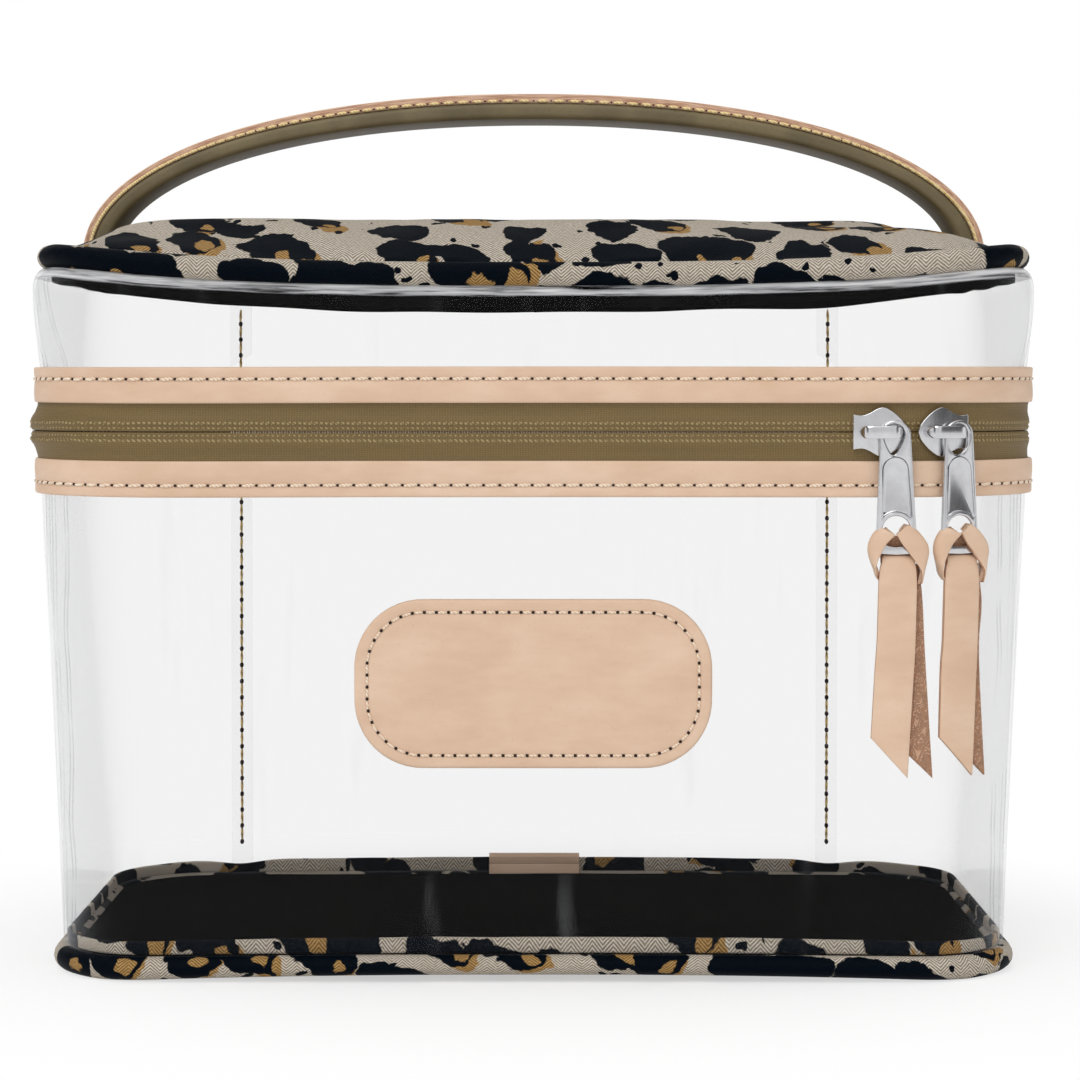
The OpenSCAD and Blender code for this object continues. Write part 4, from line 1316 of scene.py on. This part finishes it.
def tasselMeshes(frontSway, rearSway):
    f, r = thong["front"], thong["rear"]
    knotLeft = lobe([(-0.05, 4.6), (-0.4, 4.2), (-2.2, 2.4), (-3.4, 0.3), (-4.35, -1.7), (-4.95, -3.9), (-4.8, -5.6),
                     (-4.1, -6.9)],
                    [(-3.5, 6.4), (-5.3, 5.3), (-6.65, 2.9), (-6.95, 0.5), (-6.4, -1.9), (-5.6, -3.9),
                     (-5.0, -5.8), (-4.2, -7.1)])
    knotRight = lobe([(0.05, 4.6), (0.4, 4.3), (1.8, 2.0), (3.7, -0.5), (5.5, -2.9), (6.5, -4.6), (6.7, -6.4),
                      (6.7, -7.7)],
                     [(3.4, 7.2), (5.5, 5.8), (7.9, 2.9), (8.65, 0.5), (8.3, -1.9), (7.8, -3.9), (7.4, -5.8),
                      (7.0, -7.9)])
    throat = tail([(-3.4, 4.2, r - 0.2), (-3.6, 1.5, r - 0.3), (-3.4, -3.0, r)],
                  [(3.8, 4.2, r - 0.2), (4.6, 1.5, r - 0.3), (5.0, -3.0, r)])
    front = tail([(-3.0, -0.5, f - 1.9), (-3.2, -1.1, f - 0.6), (-3.4, -2.4, f), (-4.1, -6.3, f + 0.35),
                  (-4.5, -22, f + 0.3), (-4.9 - 0.1 * frontSway, -30, f + 0.1), (-4.9 - frontSway, -47, f - 0.2)],
                 [(4.5, -0.5, f - 1.9), (4.8, -1.1, f - 0.6), (5.1, -2.6, f), (5.5, -7.5, f + 0.35),
                  (5.2, -24, f + 0.3), (5.0 - 0.3 * frontSway, -34, f + 0.1), (4.45 - frontSway, -57.2, f - 0.2)])
    rear = tail([(-2.8, -2, r), (-2.5, -7, r), (-2.0, -14, r), (-1.2, -24, r), (-3.6 + rearSway, -48.6, r)],
                [(6.3, -3, r), (6.8, -8, r), (7.3, -14, r), (4.1 + 0.88 * rearSway, -27, r),
                 (5.6 + rearSway, -57.4, r)])
    return {"KnotLeft": knotLeft, "KnotRight": knotRight, "Throat": throat, "FrontTail": front, "RearTail": rear}


def hang(side, turn, x, facing, pointed, frontSway, rearSway):
    low = side.lower()
    on = onZip(turn, x)

    def put(mesh, name, material, body, stands=(), sharp=32.0, move=Matrix.Identity(4)):
        bmesh.ops.transform(mesh, matrix=on @ move, verts=mesh.verts)
        return toPiece(mesh, name + side, material, body, stands, sharp)

    put(sliderMesh(facing), "slider", nickel, "slider_" + low, ("slider_" + low,))
    put(pullMesh(pointed), "pull", nickel, "pull_" + low, ("pull_" + low,),
        move=Matrix.Translation((pull["x"], 0, 0)))
    hinge = Matrix.Translation((pull["x"], pull["bar"], 0))
    ends = [on @ hinge @ Vector((0, y, thong["middle"])) * mm for y in (-3.0, -13.0)]
    for name, mesh in tasselMeshes(frontSway, rearSway).items():
        skin = flesh if name in ("RearTail", "Throat") else tan
        piece = put(mesh, "tassel" + name, skin, None,
                    ("tassel_" + low,) if name == "FrontTail" else (), 50.0, hinge)
        piece.data.materials.append(edgeTan)
        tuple(ends[0])
        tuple(ends[1])
        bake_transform(piece)


hang("Left", 0.0, slider["leftX"], 1, 1.0, 0.95, 4.4)
hang("Right", slider["rightTurn"], None, -1, 0.0, 0.2, 2.9)
print("sliders and tassels ready")

# ---- camera, light and floor ----

view = {"place": (1.73, -830.3, 152.1), "pitch": 2.9, "lens": 99.98}
camera = bpy.data.objects.new("camera", bpy.data.cameras.new("camera"))
camera.data.lens = view["lens"]
camera.location = Vector(view["place"]) * mm
camera.rotation_euler = (math.radians(90 - view["pitch"]), 0, 0)
bpy.context.scene.collection.objects.link(camera)
bpy.context.scene.camera = camera
bpy.context.scene.view_settings.view_transform = "Standard"

light = {"sky": 0.72, "key": 1.0, "keyAngle": 40, "keyTurn": (38, 0, -28),
         "screens": ((0.01, 0.74), (0.3, 0.8), (0.48, 1.0), (0.6, 0.1), (0.84, 0.08), (0.93, 1.0))}


# What bright metal mirrors: a grey wall behind the camera and a dark screen on either hand.
def screens(tree, path):
    where = tree.nodes.new("ShaderNodeTexCoord")
    parts = tree.nodes.new("ShaderNodeSeparateXYZ")
    tree.links.new(where.outputs["Generated"], parts.inputs[0])
    sideways = tree.nodes.new("ShaderNodeMath")
    sideways.operation = "ABSOLUTE"
    tree.links.new(parts.outputs["X"], sideways.inputs[0])
    ramp = tree.nodes.new("ShaderNodeValToRGB")
    for stop, level in light["screens"]:
        spot = ramp.color_ramp.elements.new(stop)
        spot.color = (level, level, level, 1)
    for end in (0, -1):
        ramp.color_ramp.elements.remove(ramp.color_ramp.elements[end])
    tree.links.new(sideways.outputs[0], ramp.inputs[0])
    seen = tree.nodes.new("ShaderNodeMix")
    seen.data_type = "RGBA"
    seen.inputs[6].default_value = (1, 1, 1, 1)
    tree.links.new(path.outputs["Is Glossy Ray"], seen.inputs[0])
    tree.links.new(ramp.outputs[0], seen.inputs[7])
    return seen.outputs[2]


# White where the camera, a gloss or a clear sheet looks, and a softer level where it lights the object.
def studioSky():
    world = bpy.data.worlds.new("studio")
    world.use_nodes = True
    tree = world.node_tree
    tree.nodes.clear()
    path = tree.nodes.new("ShaderNodeLightPath")
    seen = path.outputs["Is Camera Ray"]
    for other in ("Is Glossy Ray", "Is Transmission Ray"):
        both = tree.nodes.new("ShaderNodeMath")
        both.operation = "MAXIMUM"
        tree.links.new(seen, both.inputs[0])
        tree.links.new(path.outputs[other], both.inputs[1])
        seen = both.outputs[0]
    level = tree.nodes.new("ShaderNodeMapRange")
    level.inputs["To Min"].default_value = light["sky"]
    level.inputs["To Max"].default_value = 1.0
    tree.links.new(seen, level.inputs["Value"])
    back = tree.nodes.new("ShaderNodeBackground")
    tree.links.new(screens(tree, path), back.inputs["Color"])
    tree.links.new(level.outputs[0], back.inputs["Strength"])
    out = tree.nodes.new("ShaderNodeOutputWorld")
    tree.links.new(back.outputs[0], out.inputs["Surface"])
    bpy.context.scene.world = world


studioSky()
sun = bpy.data.objects.new("key", bpy.data.lights.new("key", "SUN"))
sun.data.energy = light["key"]
sun.data.angle = math.radians(light["keyAngle"])
sun.rotation_euler = [math.radians(a) for a in light["keyTurn"]]
bpy.context.scene.collection.objects.link(sun)

ground = {"half": 6000.0, "near": 60.0, "far": 250.0, "glow": 0.5, "colour": (0.93, 0.93, 0.93, 1.0)}


def groundFinish():
    f = Finish("studioFloor")
    x, y, z = f.split(f.place("Object"))
    away = (x * x + y * y * 1.6).maths("SQRT")
    grainy = f.clouds(f.place("Object", (30.0, 30.0, 30.0)), 1.0, 2.0)
    matt = f.skin(f.blend(grainy, ground["colour"], (0.95, 0.95, 0.95, 1.0)), 0.9)
    white = f.node("ShaderNodeEmission", {}, {"Strength": 1.0})
    path = [f.node("ShaderNodeLightPath", output=kind) for kind in ("Is Camera Ray", "Is Glossy Ray")]
    whitened = f.between(away, ground["near"], ground["far"]) * (1 - ground["glow"]) + ground["glow"]
    share = whitened * path[0].maths("MAXIMUM", path[1])
    return f.done(f.node("ShaderNodeMixShader", {}, {0: share, 1: matt, 2: white}))


def groundPlane():
    mesh = bmesh.new()
    bmesh.ops.create_grid(mesh, x_segments=1, y_segments=1, size=ground["half"] * mm)
    data = bpy.data.meshes.new("floor")
    mesh.to_mesh(data)
    mesh.free()
    data.materials.append(groundFinish())
    plane = bpy.data.objects.new("floor", data)
    bpy.context.scene.collection.objects.link(plane)


groundPlane()
print("stage ready")
